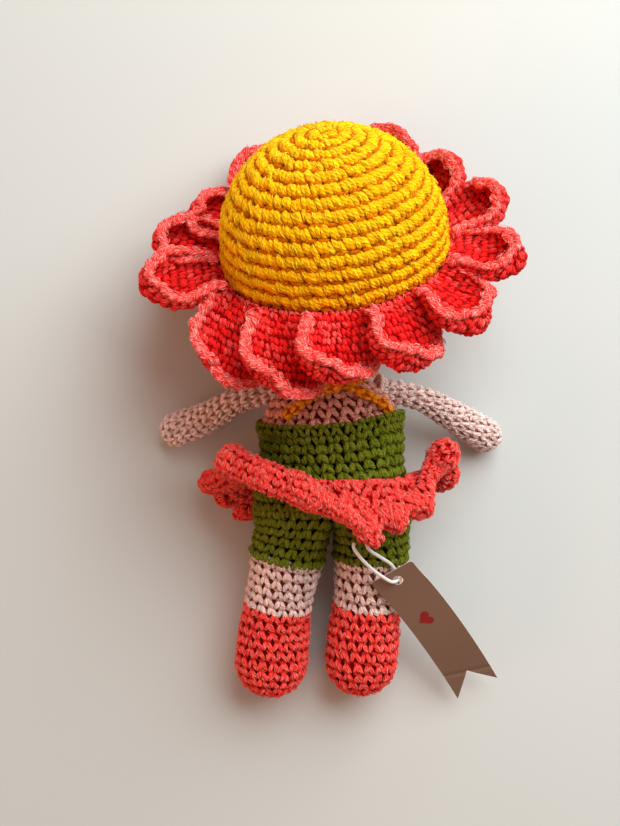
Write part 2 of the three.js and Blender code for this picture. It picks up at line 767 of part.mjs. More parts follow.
// Legs: the green top with a round end in the romper, the calf, the shoe and the stuffing inside all three
for (const name of ["left", "right"]) {
  const curve = new THREE.CatmullRomCurve3(legPoints(name));
  const radiusAt = (share, inset) => legRadius * fromTable(legRadiusShares, share, 1) - inset;
  const stretch = (from, to, inset) => {
    const between = legRadiusShares.map(([share]) => share).filter((share) => share > from && share < to);
    return [from, ...between, to].map((share) => limbRing(curve, share, radiusAt(share, inset), legSides));
  };
  const topEnd = (inset) => {
    const radius = radiusAt(0, inset);
    return endRings(curve, 0, -1, radius, radius / 4, legSides, 4).reverse();
  };
  const toeEnd = (inset) => {
    const radius = radiusAt(1, inset);
    return endRings(curve, 1, 1, radius, radius / 4, legSides, 4);
  };
  const seamGap = gap / curve.getLength();
  const shortLeg = skinOver([
    ...topEnd(0),
    ...stretch(0, hemShare, 0),
    ...stretch(0, hemShare, fabric).reverse(),
    ...topEnd(fabric).reverse(),
  ]);
  addPiece(name + "_short_leg", shortLeg, greenYarn);
  const calf = skinOver(
    [
      ...stretch(hemShare + seamGap, shoeShare, 0.1 * fabric),
      ...stretch(hemShare + seamGap, shoeShare, fabric).reverse(),
    ],
    true,
  );
  addPiece(name + "_calf", calf, skinYarn);
  const shoe = skinOver([
    ...toeEnd(fabric).reverse(),
    ...stretch(shoeShare + seamGap, 1, fabric).reverse(),
    ...stretch(shoeShare + seamGap, 1, 0),
    ...toeEnd(0),
  ]);
  addPiece(name + "_shoe", cut(shoe, [tableCutter()]), coralYarn);
  const fill = skinOver([...topEnd(fabric + gap), ...stretch(0, 1, fabric + gap), ...toeEnd(fabric + gap)]);
  addPiece(name + "_leg_stuffing", fill, fibre);
}

// Skirt: a sheet between the waist and a wavy hem, thicker at its curled tips
const waistRoots = skirtTipShares.map(([degrees]) => degrees);
const skirtTips = skirtTipShares.map(([, wide, long, high]) => besideBody(wide, long, high * bodyHalfDepth));
const hemPoints = [];
const rootDegrees = [];
skirtTips.forEach((tip, index) => {
  const next = (index + 1) % skirtTips.length;
  const halfWay = (waistRoots[index] + waistRoots[next] + (next === 0 ? fullTurn : 0)) / 2;
  const valley = tip.clone().lerp(skirtTips[next], 0.5);
  const root = bodyPoint(crotchToWaist, halfWay, -2 * gap - skirtThickness / 2);
  hemPoints.push(tip, root.lerp(valley, skirtValleyShare));
  rootDegrees.push(waistRoots[index], halfWay);
});
const hem = new THREE.CatmullRomCurve3(hemPoints, true);
function skirtMiddle(column, row) {
  const half = (2 * column) / skirtColumns;
  const step = Math.floor(half);
  const nextDegrees = step + 1 < rootDegrees.length ? rootDegrees[step + 1] : rootDegrees[0] + fullTurn;
  const degrees = THREE.MathUtils.lerp(rootDegrees[step], nextDegrees, half - step);
  const root = bodyPoint(crotchToWaist, degrees, -2 * gap - skirtThickness / 2);
  const outward = bodyPoint(crotchToWaist, degrees, -bodyHalfDepth).sub(root).normalize();
  const way = row / (skirtRows - 1);
  const point = root.clone().lerp(hem.getPoint(column / (skirtTips.length * skirtColumns)), way);
  return point.addScaledVector(outward, skirtBulge * Math.sin(Math.PI * way) * (outward.z > -0.4 ? 1 : 0));
}
const skirtSpokes = skirtTips.length * skirtColumns;
const skirtRings = [];
for (let column = 0; column < skirtSpokes; column += 1) {
  const upper = [];
  const lower = [];
  const tipness = Math.pow(Math.cos((Math.PI * column) / skirtColumns), 2);
  for (let row = 0; row < skirtRows; row += 1) {
    const middle = skirtMiddle(column, row);
    const alongHem = skirtMiddle((column + 1) % skirtSpokes, row).sub(
      skirtMiddle((column + skirtSpokes - 1) % skirtSpokes, row),
    );
    const down = skirtMiddle(column, Math.min(row + 1, skirtRows - 1)).sub(skirtMiddle(column, Math.max(row - 1, 0)));
    const normal = down.cross(alongHem).normalize();
    const way = row / (skirtRows - 1);
    const half = (skirtThickness + (skirtTip - skirtThickness) * tipness * Math.pow(way, 3)) / 2;
    upper.push(middle.clone().addScaledVector(normal, half));
    lower.unshift(middle.clone().addScaledVector(normal, -half));
  }
  skirtRings.push([...upper, ...lower]);
}
addPiece("skirt", cut(skinOver(skirtRings, true), [tableCutter()]), coralYarn);

// Tag: a strip of kraft paper with a swallowtail, laid on the right leg, and its string
const acrossTag = tagAcross.clone().normalize();
const alongTag = tagAlong.clone().addScaledVector(acrossTag, -tagAlong.dot(acrossTag)).normalize();
const overTag = acrossTag.clone().cross(alongTag).negate();
const tagOutline = new THREE.Shape();
tagOutline.moveTo(0, 0);
tagOutline.lineTo(tagWidth, 0);
tagOutline.lineTo(tagWidth, tagLength);
tagOutline.lineTo(tagWidth / 2, tagLength - tagTail);
tagOutline.lineTo(0, tagLength);
tagOutline.closePath();
const hole = new THREE.Path();
hole.absarc(tagWidth * 0.5, tagHoleInset, tagHole, 0, 2 * Math.PI, true);
tagOutline.holes.push(hole);
const tagSheet = new THREE.ExtrudeGeometry(tagOutline, { depth: tagThickness, bevelEnabled: false, curveSegments: 8 });
const tagPlace = new THREE.Matrix4().makeBasis(acrossTag, alongTag, overTag.clone().negate());
const [tagWide, tagLong, tagHigh] = tagCornerShares;
tagSheet.applyMatrix4(tagPlace.setPosition(besideBody(tagWide, tagLong, tagHigh * bodyHalfDepth)));
addPiece("tag", tagSheet, kraftPaper);

const stringPoints = stringRoute.map((point) => new THREE.Vector3(...point));
addPiece("tag_string", tubeAlong(stringPoints, stringRadius, stringSides, stringSteps), cottonString);

export default doll;
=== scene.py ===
# A crocheted doll in a flower hat, lying face down on a table: its looks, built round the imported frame.
# Sizes are in millimetres, and each mesh is turned into metres when it is made.
import math

import bmesh
import bpy
import numpy as np
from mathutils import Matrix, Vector
from mathutils.geometry import delaunay_2d_cdt


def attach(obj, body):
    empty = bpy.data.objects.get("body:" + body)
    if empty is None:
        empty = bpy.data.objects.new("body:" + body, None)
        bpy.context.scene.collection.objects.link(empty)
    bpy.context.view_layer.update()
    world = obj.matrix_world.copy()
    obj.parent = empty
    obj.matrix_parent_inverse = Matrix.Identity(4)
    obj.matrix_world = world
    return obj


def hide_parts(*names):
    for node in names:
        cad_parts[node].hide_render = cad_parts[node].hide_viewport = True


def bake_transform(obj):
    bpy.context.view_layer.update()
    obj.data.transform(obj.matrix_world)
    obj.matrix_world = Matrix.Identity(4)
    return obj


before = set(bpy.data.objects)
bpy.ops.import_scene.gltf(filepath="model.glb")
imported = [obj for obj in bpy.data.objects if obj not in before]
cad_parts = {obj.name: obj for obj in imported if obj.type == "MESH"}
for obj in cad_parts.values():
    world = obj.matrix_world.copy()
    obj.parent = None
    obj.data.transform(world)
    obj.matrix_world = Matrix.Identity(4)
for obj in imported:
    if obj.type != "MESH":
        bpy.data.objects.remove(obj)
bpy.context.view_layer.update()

# The table, the daylight and the view
# The doll lies on a pale table and is seen from straight above. Soft daylight comes from a window and the
# sky at the upper right, a wall at the left throws warm light back, and the room fills the shadows.
metres = 0.001
table_side = 40000
table_colour = (0.61, 0.625, 0.612, 1)
view_height = 600
view_x = -9.1
view_y = 13.0
focal_pixels = 1380
long_side_pixels = 826
sensor = 36

table_mesh = bpy.data.meshes.new("table_top")
half = table_side * metres / 2
table_corners = [(-half, -half, 0), (half, -half, 0), (half, half, 0), (-half, half, 0)]
table_mesh.from_pydata(table_corners, [], [(0, 1, 2, 3)])
table_top = bpy.data.objects.new("table_top", table_mesh)
bpy.context.scene.collection.objects.link(table_top)
table_paint = bpy.data.materials.new("pale_table")
table_paint.use_nodes = True
table_shader = table_paint.node_tree.nodes["Principled BSDF"]
table_shader.inputs["Base Color"].default_value = table_colour
table_shader.inputs["Roughness"].default_value = 0.55
table_mesh.materials.append(table_paint)

camera_data = bpy.data.cameras.new("view_from_above")
camera_data.sensor_width = sensor
camera_data.lens = focal_pixels * sensor / long_side_pixels
camera_data.clip_start = 0.01
camera = bpy.data.objects.new("view_from_above", camera_data)
camera.location = (view_x * metres, view_y * metres, view_height * metres)
bpy.context.scene.collection.objects.link(camera)
bpy.context.scene.camera = camera
bpy.context.scene.view_settings.view_transform = "Standard"


def add_light(name, kind, place, strength, colour):
    """A light that faces the doll."""
    lamp = bpy.data.lights.new(name, kind)
    lamp.energy = strength
    lamp.color = colour
    made = bpy.data.objects.new(name, lamp)
    made.location = place
    towards = -made.location
    made.rotation_mode = "QUATERNION"
    made.rotation_quaternion = towards.to_track_quat("-Z", "Y")
    bpy.context.scene.collection.objects.link(made)
    return lamp


daylight_colour = (0.90, 1.0, 1.0)
wall_colour = (1.0, 0.45, 0.25)
window = add_light("daylight", "AREA", (0.48, 0.66, 0.70), 19.5, daylight_colour)
window.size = 1.1
sky = add_light("sky", "SUN", (0.48, 0.66, 0.90), 0.30, daylight_colour)
sky.angle = math.radians(70)
wall = add_light("warm_wall", "SUN", (-0.75, -0.3, 0.26), 1.0, wall_colour)
wall.angle = math.radians(32)
room = bpy.data.worlds.new("room")
bpy.context.scene.world = room
room.use_nodes = True
room_light = room.node_tree.nodes["Background"]
room_light.inputs["Color"].default_value = (1.0, 0.66, 0.50, 1)
room_light.inputs["Strength"].default_value = 0.32

# The tag's string
# A thin white waxed cotton cord: it comes out from under the skirt, goes through the tag's hole and back
# under the skirt, where it is tied.
string_route = [
    (8.4, -38.4, 53.6),
    (8.3, -40.6, 53.8),
    (11.4, -45.0, 51.4),
    (16.0, -49.8, 46.4),
    (20.8, -53.6, 42.2),
    (24.4, -55.6, 39.9),
    (26.9, -54.9, 36.4),
    (26.3, -52.2, 35.4),
    (23.8, -48.6, 37.6),
    (19.5, -45.3, 43.0),
    (15.8, -42.6, 48.6),
    (13.8, -40.4, 52.6),
    (13.4, -38.4, 53.4),
]
string_radius = 0.7
string_plies = 3
string_relief = 0.06
string_turn = 3.2  # length of the cord in which its plies turn once
string_steps = 160
string_sides = 12
string_swell = 1.04  # the plies dip under the radius, so the drawn cord is a little thicker


def between(a, b, c, d, way):
    """A share of the way from b to c on a smooth curve that goes through all four."""
    square, cube = 2 * a - 5 * b + 4 * c - d, 3 * b - a - 3 * c + d
    return 0.5 * (2 * b + (c - a) * way + square * way**2 + cube * way**3)


def run_along(line):
    """The distance along a line at each of its points."""
    return np.concatenate([[0], np.cumsum(np.linalg.norm(np.diff(line, axis=0), axis=1))])


def full_turn(count):
    """Angles evenly spaced round a full turn."""
    return np.linspace(0, 2 * np.pi, count, endpoint=False)


def curve_through(points, count):
    """Points evenly spaced on a smooth curve through the given ones, with the direction at each."""
    knots = np.array(points, float)
    padded = np.vstack([2 * knots[0] - knots[1], knots, 2 * knots[-1] - knots[-2]])
    way = np.linspace(0, 1, 24, endpoint=False)[:, None]
    parts = []
    for k in range(len(knots) - 1):
        parts.append(between(*padded[k : k + 4], way))
    fine = np.vstack([*parts, knots[-1:]])
    run = run_along(fine)
    even = np.linspace(0, run[-1], count)
    line = np.stack([np.interp(even, run, fine[:, axis]) for axis in range(3)], 1)
    return line, unit(np.gradient(line, axis=0))


def unit(vectors):
    return vectors / np.maximum(np.linalg.norm(vectors, axis=-1, keepdims=True), 1e-9)


def length_of(line):
    return float(np.linalg.norm(np.diff(line, axis=0), axis=1).sum())


def carried_frames(directions):
    """A side and an up vector at each step of a line, carried along it without turning round it."""
    sides = []
    side = np.cross((0.0, 0.0, 1.0), directions[0])
    if np.linalg.norm(side) < 0.1:
        side = np.cross((1.0, 0.0, 0.0), directions[0])
    for direction in directions:
        side = side - direction * (side @ direction)
        side = side / np.linalg.norm(side)
        sides.append(side)
    sides = np.array(sides)
    return sides, np.cross(directions, sides)


def join(*shapes):
    """Several shapes as one."""
    points, faces, marks, first = [], [], [], 0
    for some_points, some_faces, some_marks in shapes:
        points.append(some_points)
        marks.append(some_marks)
        faces += [corners + first for corners in some_faces]
        first += len(some_points)
    return np.vstack(points), faces, np.vstack(marks)


def make_piece(name, shape, look):
    """A mesh object in metres. A shape is its points, then a list of arrays of corners, one array for each
    kind of face, then six numbers for each point: three for where it is round and along its strand, its own
    shade, how far it stands out of the fabric, which sets how much painted shade it gets, and how pale it is,
    partly as painted highlight."""
    points, faces, marks = shape
    mesh = bpy.data.meshes.new(name)
    points = np.asarray(points, float) * metres
    mesh.vertices.add(len(points))
    mesh.vertices.foreach_set("co", points.astype(np.float32).ravel())
    corners = np.concatenate([kind.ravel() for kind in faces])
    sizes = np.concatenate([np.full(len(kind), kind.shape[1]) for kind in faces])
    mesh.loops.add(len(corners))
    mesh.loops.foreach_set("vertex_index", corners.astype(np.int32))
    mesh.polygons.add(len(sizes))
    mesh.polygons.foreach_set("loop_start", (np.cumsum(sizes) - sizes).astype(np.int32))
    mesh.polygons.foreach_set("use_smooth", np.full(len(sizes), True))
    mesh.update(calc_edges=True)
    mesh.validate()
    strand = mesh.attributes.new("strand", "FLOAT_VECTOR", "POINT")
    strand.data.foreach_set("vector", marks[:, :3].astype(np.float32).ravel())
    shade = mesh.attributes.new("shade", "FLOAT_VECTOR", "POINT")
    shade.data.foreach_set("vector", marks[:, 3:].astype(np.float32).ravel())
    mesh.materials.append(look)
    made = bpy.data.objects.new(name, mesh)
    bpy.context.scene.collection.objects.link(made)
    return made


def grid_faces(rows, columns):
    """Four-cornered faces between neighbouring rows of points that are closed round."""
    row, column = np.meshgrid(np.arange(rows - 1), np.arange(columns), indexing="ij")
    after = (column + 1) % columns
    near, far = row * columns, (row + 1) * columns
    return np.stack([near + column, near + after, far + after, far + column], -1).reshape(-1, 4)


def closing(columns, hub, last):
    """Three-cornered faces that close both ends of rows of points, round two hubs that come after them.
    last is the first point of the last row."""
    side = np.arange(columns)
    after = (side + 1) % columns
    foot = np.stack([np.full(columns, hub), after, side], 1)
    head = np.stack([np.full(columns, hub + 1), last + side, last + after], 1)
    return np.vstack([foot, head])


def tube(line, directions, radius, sides, twist, plies, relief):
    """A round cord along a line, closed at both ends. Its plies stand proud by a share of its radius."""
    across, up = carried_frames(directions)
    angle = full_turn(sides)
    run = run_along(line)
    turned = run / twist * 2 * np.pi
    reach = radius * (1 + relief * (np.cos(plies * (angle - turned[:, None])) - 1))
    out = across[:, None] * np.cos(angle)[:, None] + up[:, None] * np.sin(angle)[:, None]
    ring = out * reach[..., None] + line[:, None]
    points = np.vstack([ring.reshape(-1, 3), line[:1], line[-1:]])
    body = grid_faces(len(line), sides)
    ends = closing(sides, len(points) - 2, (len(line) - 1) * sides)
    marks = np.zeros((len(points), 6))
    marks[:-2, 0] = np.tile(np.cos(angle), len(line))
    marks[:-2, 1] = np.tile(np.sin(angle), len(line))
    marks[:-2, 2] = np.repeat(run, sides)
    # A cord's points get a middling tone and a little painted shade.
    marks[:, 3:] = (0.5, 0.8, 0)
    return points, [body, ends], marks


def speckled(name, deep, pale, scale, roughness, detail=2, ends=(0, 1)):
    """A plain finish whose colour runs from a deep to a pale one in fine specks."""
    finish = bpy.data.materials.new(name)
    finish.use_nodes = True
    nodes, links = finish.node_tree.nodes, finish.node_tree.links
    specks = nodes.new("ShaderNodeTexNoise")
    specks.name = "specks"
    specks.inputs["Scale"].default_value = scale
    specks.inputs["Detail"].default_value = detail
    tint = nodes.new("ShaderNodeValToRGB")
    for element, end, colour in zip(tint.color_ramp.elements, ends, (deep, pale)):
        element.position = end
        element.color = (*colour, 1)
    shader = nodes["Principled BSDF"]
    shader.inputs["Roughness"].default_value = roughness
    links.new(specks.outputs["Fac"], tint.inputs["Fac"])
    links.new(tint.outputs["Color"], shader.inputs["Base Color"])
    return finish


string_line, string_directions = curve_through(string_route, string_steps)
string_drawn = string_radius * string_swell
string_twist = (string_turn, string_plies, string_relief)
string_shape = tube(string_line, string_directions, string_drawn, string_sides, *string_twist)
cotton = speckled("white_cotton", (0.72, 0.70, 0.68), (0.93, 0.92, 0.91), 2400, 0.6)
tag_string = make_piece("string", string_shape, cotton)
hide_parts("tag_string")
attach(tag_string, "torso")

# The body
# A bag crocheted in rounds of single stitches and stuffed. Green yarn makes the romper up to its turned
# edge, and skin-coloured yarn makes the chest up to the neck.
crotch_to_belly = 44
body_length = 73
body_half_width = 32.4
body_half_depth = 27.8
romper_foot = 17  # from the crotch, where the two short legs begin
chest_top = 71
body_columns = 96
body_rows = 48
# Each row: shares of the body's length from the crotch, of its half width, of its half depth, and of that
# half depth again for the height of the section's middle
body_shares = np.array(
    [
        [0.0, 0.7, 0.52, 1.01],
        [0.035, 0.88, 0.75, 1.04],
        [0.11, 0.975, 0.875, 1.075],
        [0.22, 1.0, 0.905, 1.085],
        [0.33, 0.975, 0.925, 1.1],
        [0.418, 0.94, 0.905, 1.078],
        [0.507, 0.923, 0.957, 1.0],
        [0.56, 0.917, 1.0, 0.982],
        [0.685, 0.914, 1.0, 0.982],
        [0.767, 0.864, 0.95, 0.982],
        [0.849, 0.772, 0.827, 1.014],
        [0.918, 0.625, 0.675, 1.07],
        [0.973, 0.46, 0.51, 1.115],
        [1.0, 0.36, 0.42, 1.14],
    ]
)
stitch_wide = 5.6
stitch_tall = 4.5
yarn_radius = 1.15
yarn_flat = 0.9  # a strand's height off the fabric as a share of its width
stitch_rings = 7
stitch_sides = 8
hair_points = 4
table_touch = 0.12  # the lowest that any yarn lies over the table
degrees_round = np.linspace(0, 360, body_columns, endpoint=False)


def eased(table, column, at):
    """A smooth value from a table of rows that start with a share."""
    shares, values = table[:, 0], table[:, column]
    slopes = np.gradient(values, shares)
    at = np.clip(at, shares[0], shares[-1])
    row = np.clip(np.searchsorted(shares, at) - 1, 0, len(shares) - 2)
    step = shares[row + 1] - shares[row]
    way = (at - shares[row]) / step
    start = (1 + 2 * way) * (1 - way) ** 2 * values[row] + way * (1 - way) ** 2 * step * slopes[row]
    end = way**2 * (3 - 2 * way) * values[row + 1] + way**2 * (way - 1) * step * slopes[row + 1]
    return start + end


class Fabric:
    """A crocheted surface: rows of points from the first round to the last, each row closed round."""

    def __init__(self, points):
        self.points = np.asarray(points, float)
        self.rows = len(self.points)
        around = np.roll(self.points, -1, 1) - np.roll(self.points, 1, 1)
        along = np.gradient(self.points, axis=0)
        square = np.cross(around, along)
        bulk = np.einsum("rci,rci->", self.points - self.points.mean((0, 1)), square)
        self.normals = unit(square) * np.sign(bulk)
        steps = np.linalg.norm(np.diff(self.points, axis=0), axis=2).mean(1)
        self.run = np.concatenate([[0], np.cumsum(steps)])
        self.girth = np.linalg.norm(np.roll(self.points, -1, 1) - self.points, axis=2).sum(1)

    def at(self, row, turn):
        """Points and normals at places that are given in rows and in turns round the row."""
        columns = self.points.shape[1]
        row = np.clip(row, 0, self.rows - 1)
        low = np.minimum(row.astype(int), self.rows - 2)
        way = (row - low)[..., None]
        column = (turn % 1) * columns
        left = column.astype(int) % columns
        right = (left + 1) % columns
        share = (column - np.floor(column))[..., None]

        def mixed(grid):
            near = grid[low, left] * (1 - share) + grid[low, right] * share
            far = grid[low + 1, left] * (1 - share) + grid[low + 1, right] * share
            return near * (1 - way) + far * way

        return mixed(self.points), unit(mixed(self.normals))

    def row_at(self, distance):
        return np.interp(distance, self.run, np.arange(self.rows))

    def rounds(self, tall, wide, first=0.0, least=5):
        """Rounds of about that height, each with its first row, last row and number of stitches."""
        count = max(1, round((self.run[-1] - first) / tall))
        edges = np.linspace(first, self.run[-1], count + 1)
        made = []
        for foot, top in zip(edges[:-1], edges[1:]):
            girth = np.interp((foot + top) / 2, self.run, self.girth)
            made.append((self.row_at(foot), self.row_at(top), max(least, round(girth / wide))))
        return made


def lobes(centres, normals, radii, flat, rng, sides=stitch_sides, pale=0.0):
    """Short lengths of yarn, pointed at both ends: N paths of K points each, with their normals and radii."""
    count, rings = radii.shape
    along = unit(np.gradient(centres, axis=1))
    across = unit(np.cross(normals, along))
    up = np.cross(along, across)
    angle = full_turn(sides)
    inner = slice(1, rings - 1)
    out = across[:, inner, None] * np.cos(angle)[:, None] + flat * up[:, inner, None] * np.sin(angle)[:, None]
    ring = centres[:, inner, None] + radii[:, inner, None, None] * out
    middle = (rings - 2) * sides
    each = middle + 2
    points = np.concatenate([ring.reshape(count, middle, 3), centres[:, :1], centres[:, -1:]], 1)
    body = grid_faces(rings - 2, sides)
    tips = closing(sides, middle, (rings - 3) * sides)
    start = (np.arange(count) * each)[:, None, None]
    marks = np.zeros((count, each, 6))
    marks[:, :middle, 0] = np.tile(np.cos(angle), rings - 2)
    marks[:, :middle, 1] = np.tile(np.sin(angle), rings - 2)
    run = np.cumsum(np.linalg.norm(np.diff(centres, axis=1), axis=2), 1)
    marks[:, :middle, 2] = np.repeat(run[:, : rings - 2], sides, axis=1)
    marks[:, middle + 1, 2] = run[:, -1]
    marks[..., 2] += rng.uniform(0, 10, count)[:, None]
    marks[..., 3] = rng.uniform(0, 1, count)[:, None]
    # The fifth mark sets the painted shade: deepest at a lobe's pointed ends and underneath, lighter on its
    # top and its middle.
    bow = np.sin(np.linspace(0, np.pi, rings))[inner]
    marks[:, :middle, 4] = (0.25 + 0.35 * bow[:, None] + 0.4 * np.sin(angle)[None, :] * bow[:, None]).ravel()
    marks[:, middle:, 4] = 0.15
    marks[..., 5] = pale
    body = (body[None] + start).reshape(-1, 4)
    tips = (tips[None] + start).reshape(-1, 3)
    return points.reshape(-1, 3), [body, tips], marks.reshape(-1, 6)


def fluff(centres, normals, radii, number, rng, stand=0.45):
    """Fine strands that have worked loose and lie along the yarn, a number of them on each length."""
    count, rings = radii.shape
    along = unit(np.gradient(centres, axis=1))
    across = unit(np.cross(normals, along))
    up = np.cross(along, across)
    made = []
    for _ in range(number):
        first = rng.uniform(0, 0.45, (count, 1))
        t = (first + rng.uniform(0.4, 0.6, (count, 1)) * np.linspace(0, 1, hair_points)) * (rings - 1)
        low = np.clip(t.astype(int), 0, rings - 2)
        way = (t - low)[..., None]
        row = np.arange(count)[:, None]
        place, side, over, thick = (
            field[row, low] * (1 - way) + field[row, low + 1] * way
            for field in (centres, across, up, radii[..., None])
        )
        angle = rng.uniform(0.1, 0.9, (count, 1)) * np.pi
        angle = angle + rng.normal(0, 0.5, (count, 1)) * np.linspace(-1, 1, hair_points)
        out = side * np.cos(angle)[..., None] + over * np.sin(angle)[..., None]
        off = thick * (1 + stand * rng.uniform(0, 1, (count, 1, 1)) * np.array([0.4, 1, 1, 0.4])[:, None])
        fine = rng.uniform(0.12, 0.2, (count, 1)) + 0 * t
        points, faces, marks = lobes(place + out * off, unit(out), fine, 1.0, rng, sides=3)
        # Loose strands take the pale fibre colour, partly their own paleness and partly painted highlight,
        # and little painted shade.
        marks[:, 4] = 0.95
        marks[:, 5] = 1.0 + rng.uniform(0.1, 0.6, count).repeat(len(points) // count)
        made.append((points, faces, marks))
    return join(*made)


def single_stitches(fabric, rounds, yarn, seed, pale_at=None, **ways):
    """Rounds of single crochet, each stitch placed in its round in the ways that placed_stitches knows."""
    turned, spots = 0.0, []
    for foot, top, count in rounds:
        turned += 0.36
        girth = np.interp((foot + top) / 2, np.arange(fabric.rows), fabric.girth) / count
        at = (np.arange(count) + turned) / count
        pale = pale_at((foot + top) / 2 / (fabric.rows - 1) + 0 * at, at % 1) if pale_at else 0 * at
        same = (np.full(count, value) for value in (1 / count, foot, top, girth))
        spots.append(np.stack([at, *same, pale], 1))
    return placed_stitches(fabric, np.vstack(spots), yarn, seed, **ways)


def placed_stitches(
    fabric,
    spots,
    yarn,
    seed,
    arch=0.75,
    sunk=0.75,
    slant=0.2,
    spread=0.42,
    apart=0.045,
    rise=(0.0, 1.0),
    stray=1.7,
    loose=3,
):
    """Stitches at given spots: each is a V of two legs of yarn over a loop that lies behind them. A spot is
    its turn round the fabric, its width in turns, its first and last row, its width and how pale it is.
    arch is how high a leg bows and sunk how deep it starts. slant, spread and apart place the legs round the
    fabric and rise along it. stray is how unevenly they lie and loose the number of fine strands on each."""
    rng = np.random.default_rng(seed)
    t = np.linspace(0, 1, stitch_rings)
    bow = np.sin(np.pi * t)
    count = len(spots)
    turn_at, turn_wide, foot, top, wide = (spots[:, column, None] for column in range(5))
    pale = spots[:, 5]
    tall = top - foot
    made = []
    for side in (-1, 1):
        wander = rng.normal(0, 0.025 * stray, (count, 1))
        reach = spread * (1 + rng.normal(0, 0.06 * stray, (count, 1)))
        turn = turn_at + turn_wide * (wander + side * (apart + reach * t**0.9) + slant * t)
        row = foot + tall * (rise[0] + (rise[1] - rise[0]) * t + rng.normal(0, 0.035 * stray, (count, 1)))
        place, normal = fabric.at(row, turn)
        lift = arch * bow**0.8 - sunk + rng.normal(0, 0.08 * stray, (count, 1))
        thick = yarn * np.minimum(1.0, wide / stitch_wide) * (0.55 + 0.45 * bow**0.6)
        radii = thick * (1 + rng.normal(0, 0.06, (count, 1)))
        centres = place + normal * lift[..., None]
        made.append(lobes(centres, normal, radii, yarn_flat, rng, pale=pale[:, None]))
        if loose:
            made.append(fluff(centres, normal, radii, loose, rng))
    t = np.linspace(0, 1, 5)
    bow = np.sin(np.pi * t)
    turn = turn_at + turn_wide * (0.5 + slant + (t - 0.5) * 1.08)
    row = foot + tall * (0.98 + rng.normal(0, 0.02, (count, 1))) + 0 * t
    place, normal = fabric.at(row, turn)
    lift = 0.3 * arch * bow - sunk - 0.35 * yarn + 0 * turn
    radii = 0.8 * yarn * (0.6 + 0.4 * bow) + 0 * turn
    centres = place + normal * lift[..., None]
    loops = lobes(centres, normal, radii, yarn_flat, rng, sides=6, pale=0.3 * pale[:, None])
    # The loops, lying behind the legs, get more painted shade.
    loops[2][:, 4] *= 0.6
    return facing_out(join(*made, loops))


def backing(fabric, under):
    """The shadowed yarn behind the stitches: the fabric itself, a little further in, closed at both ends."""
    points = fabric.points - under * fabric.normals
    rows, columns = points.shape[:2]
    hubs = np.stack([points[0].mean(0), points[-1].mean(0)])
    hub = rows * columns
    # Its points take the full painted shade of the groove colour.
    marks = np.zeros((hub + 2, 6))
    marks[:, 3] = 0.5
    faces = [grid_faces(rows, columns), closing(columns, hub, hub - columns)]
    return facing_out((np.vstack([points.reshape(-1, 3), hubs]), faces, marks))


def facing_out(shape):
    """The shape, its faces turned round together where its skin is inside out."""
    points, faces, marks = shape
    corners = points[faces[0][:, :3]]
    volume = np.einsum("ij,ij->i", corners[:, 0], np.cross(corners[:, 1], corners[:, 2])).sum()
    return points, faces if volume > 0 else [kind[:, ::-1] for kind in faces], marks


def off_the_table(shape):
    """Yarn that would be under the table is pressed flat on it."""
    points, faces, marks = shape
    pressed = points.copy()
    pressed[:, 2] = np.maximum(pressed[:, 2], table_touch)
    return pressed, faces, marks


def crochet(name, fabric, rounds, look, seed, yarn=yarn_radius, under=1.5, drawn_in=0.8, **ways):
    """A crocheted piece: its backing and its stitches in one mesh, drawn in so that its yarn ends at the
    surface."""
    fabric = Fabric(fabric.points - drawn_in * fabric.normals)
    stitches = single_stitches(fabric, rounds, yarn, seed, **ways)
    return make_piece(name, off_the_table(join(backing(fabric, under), stitches)), look)


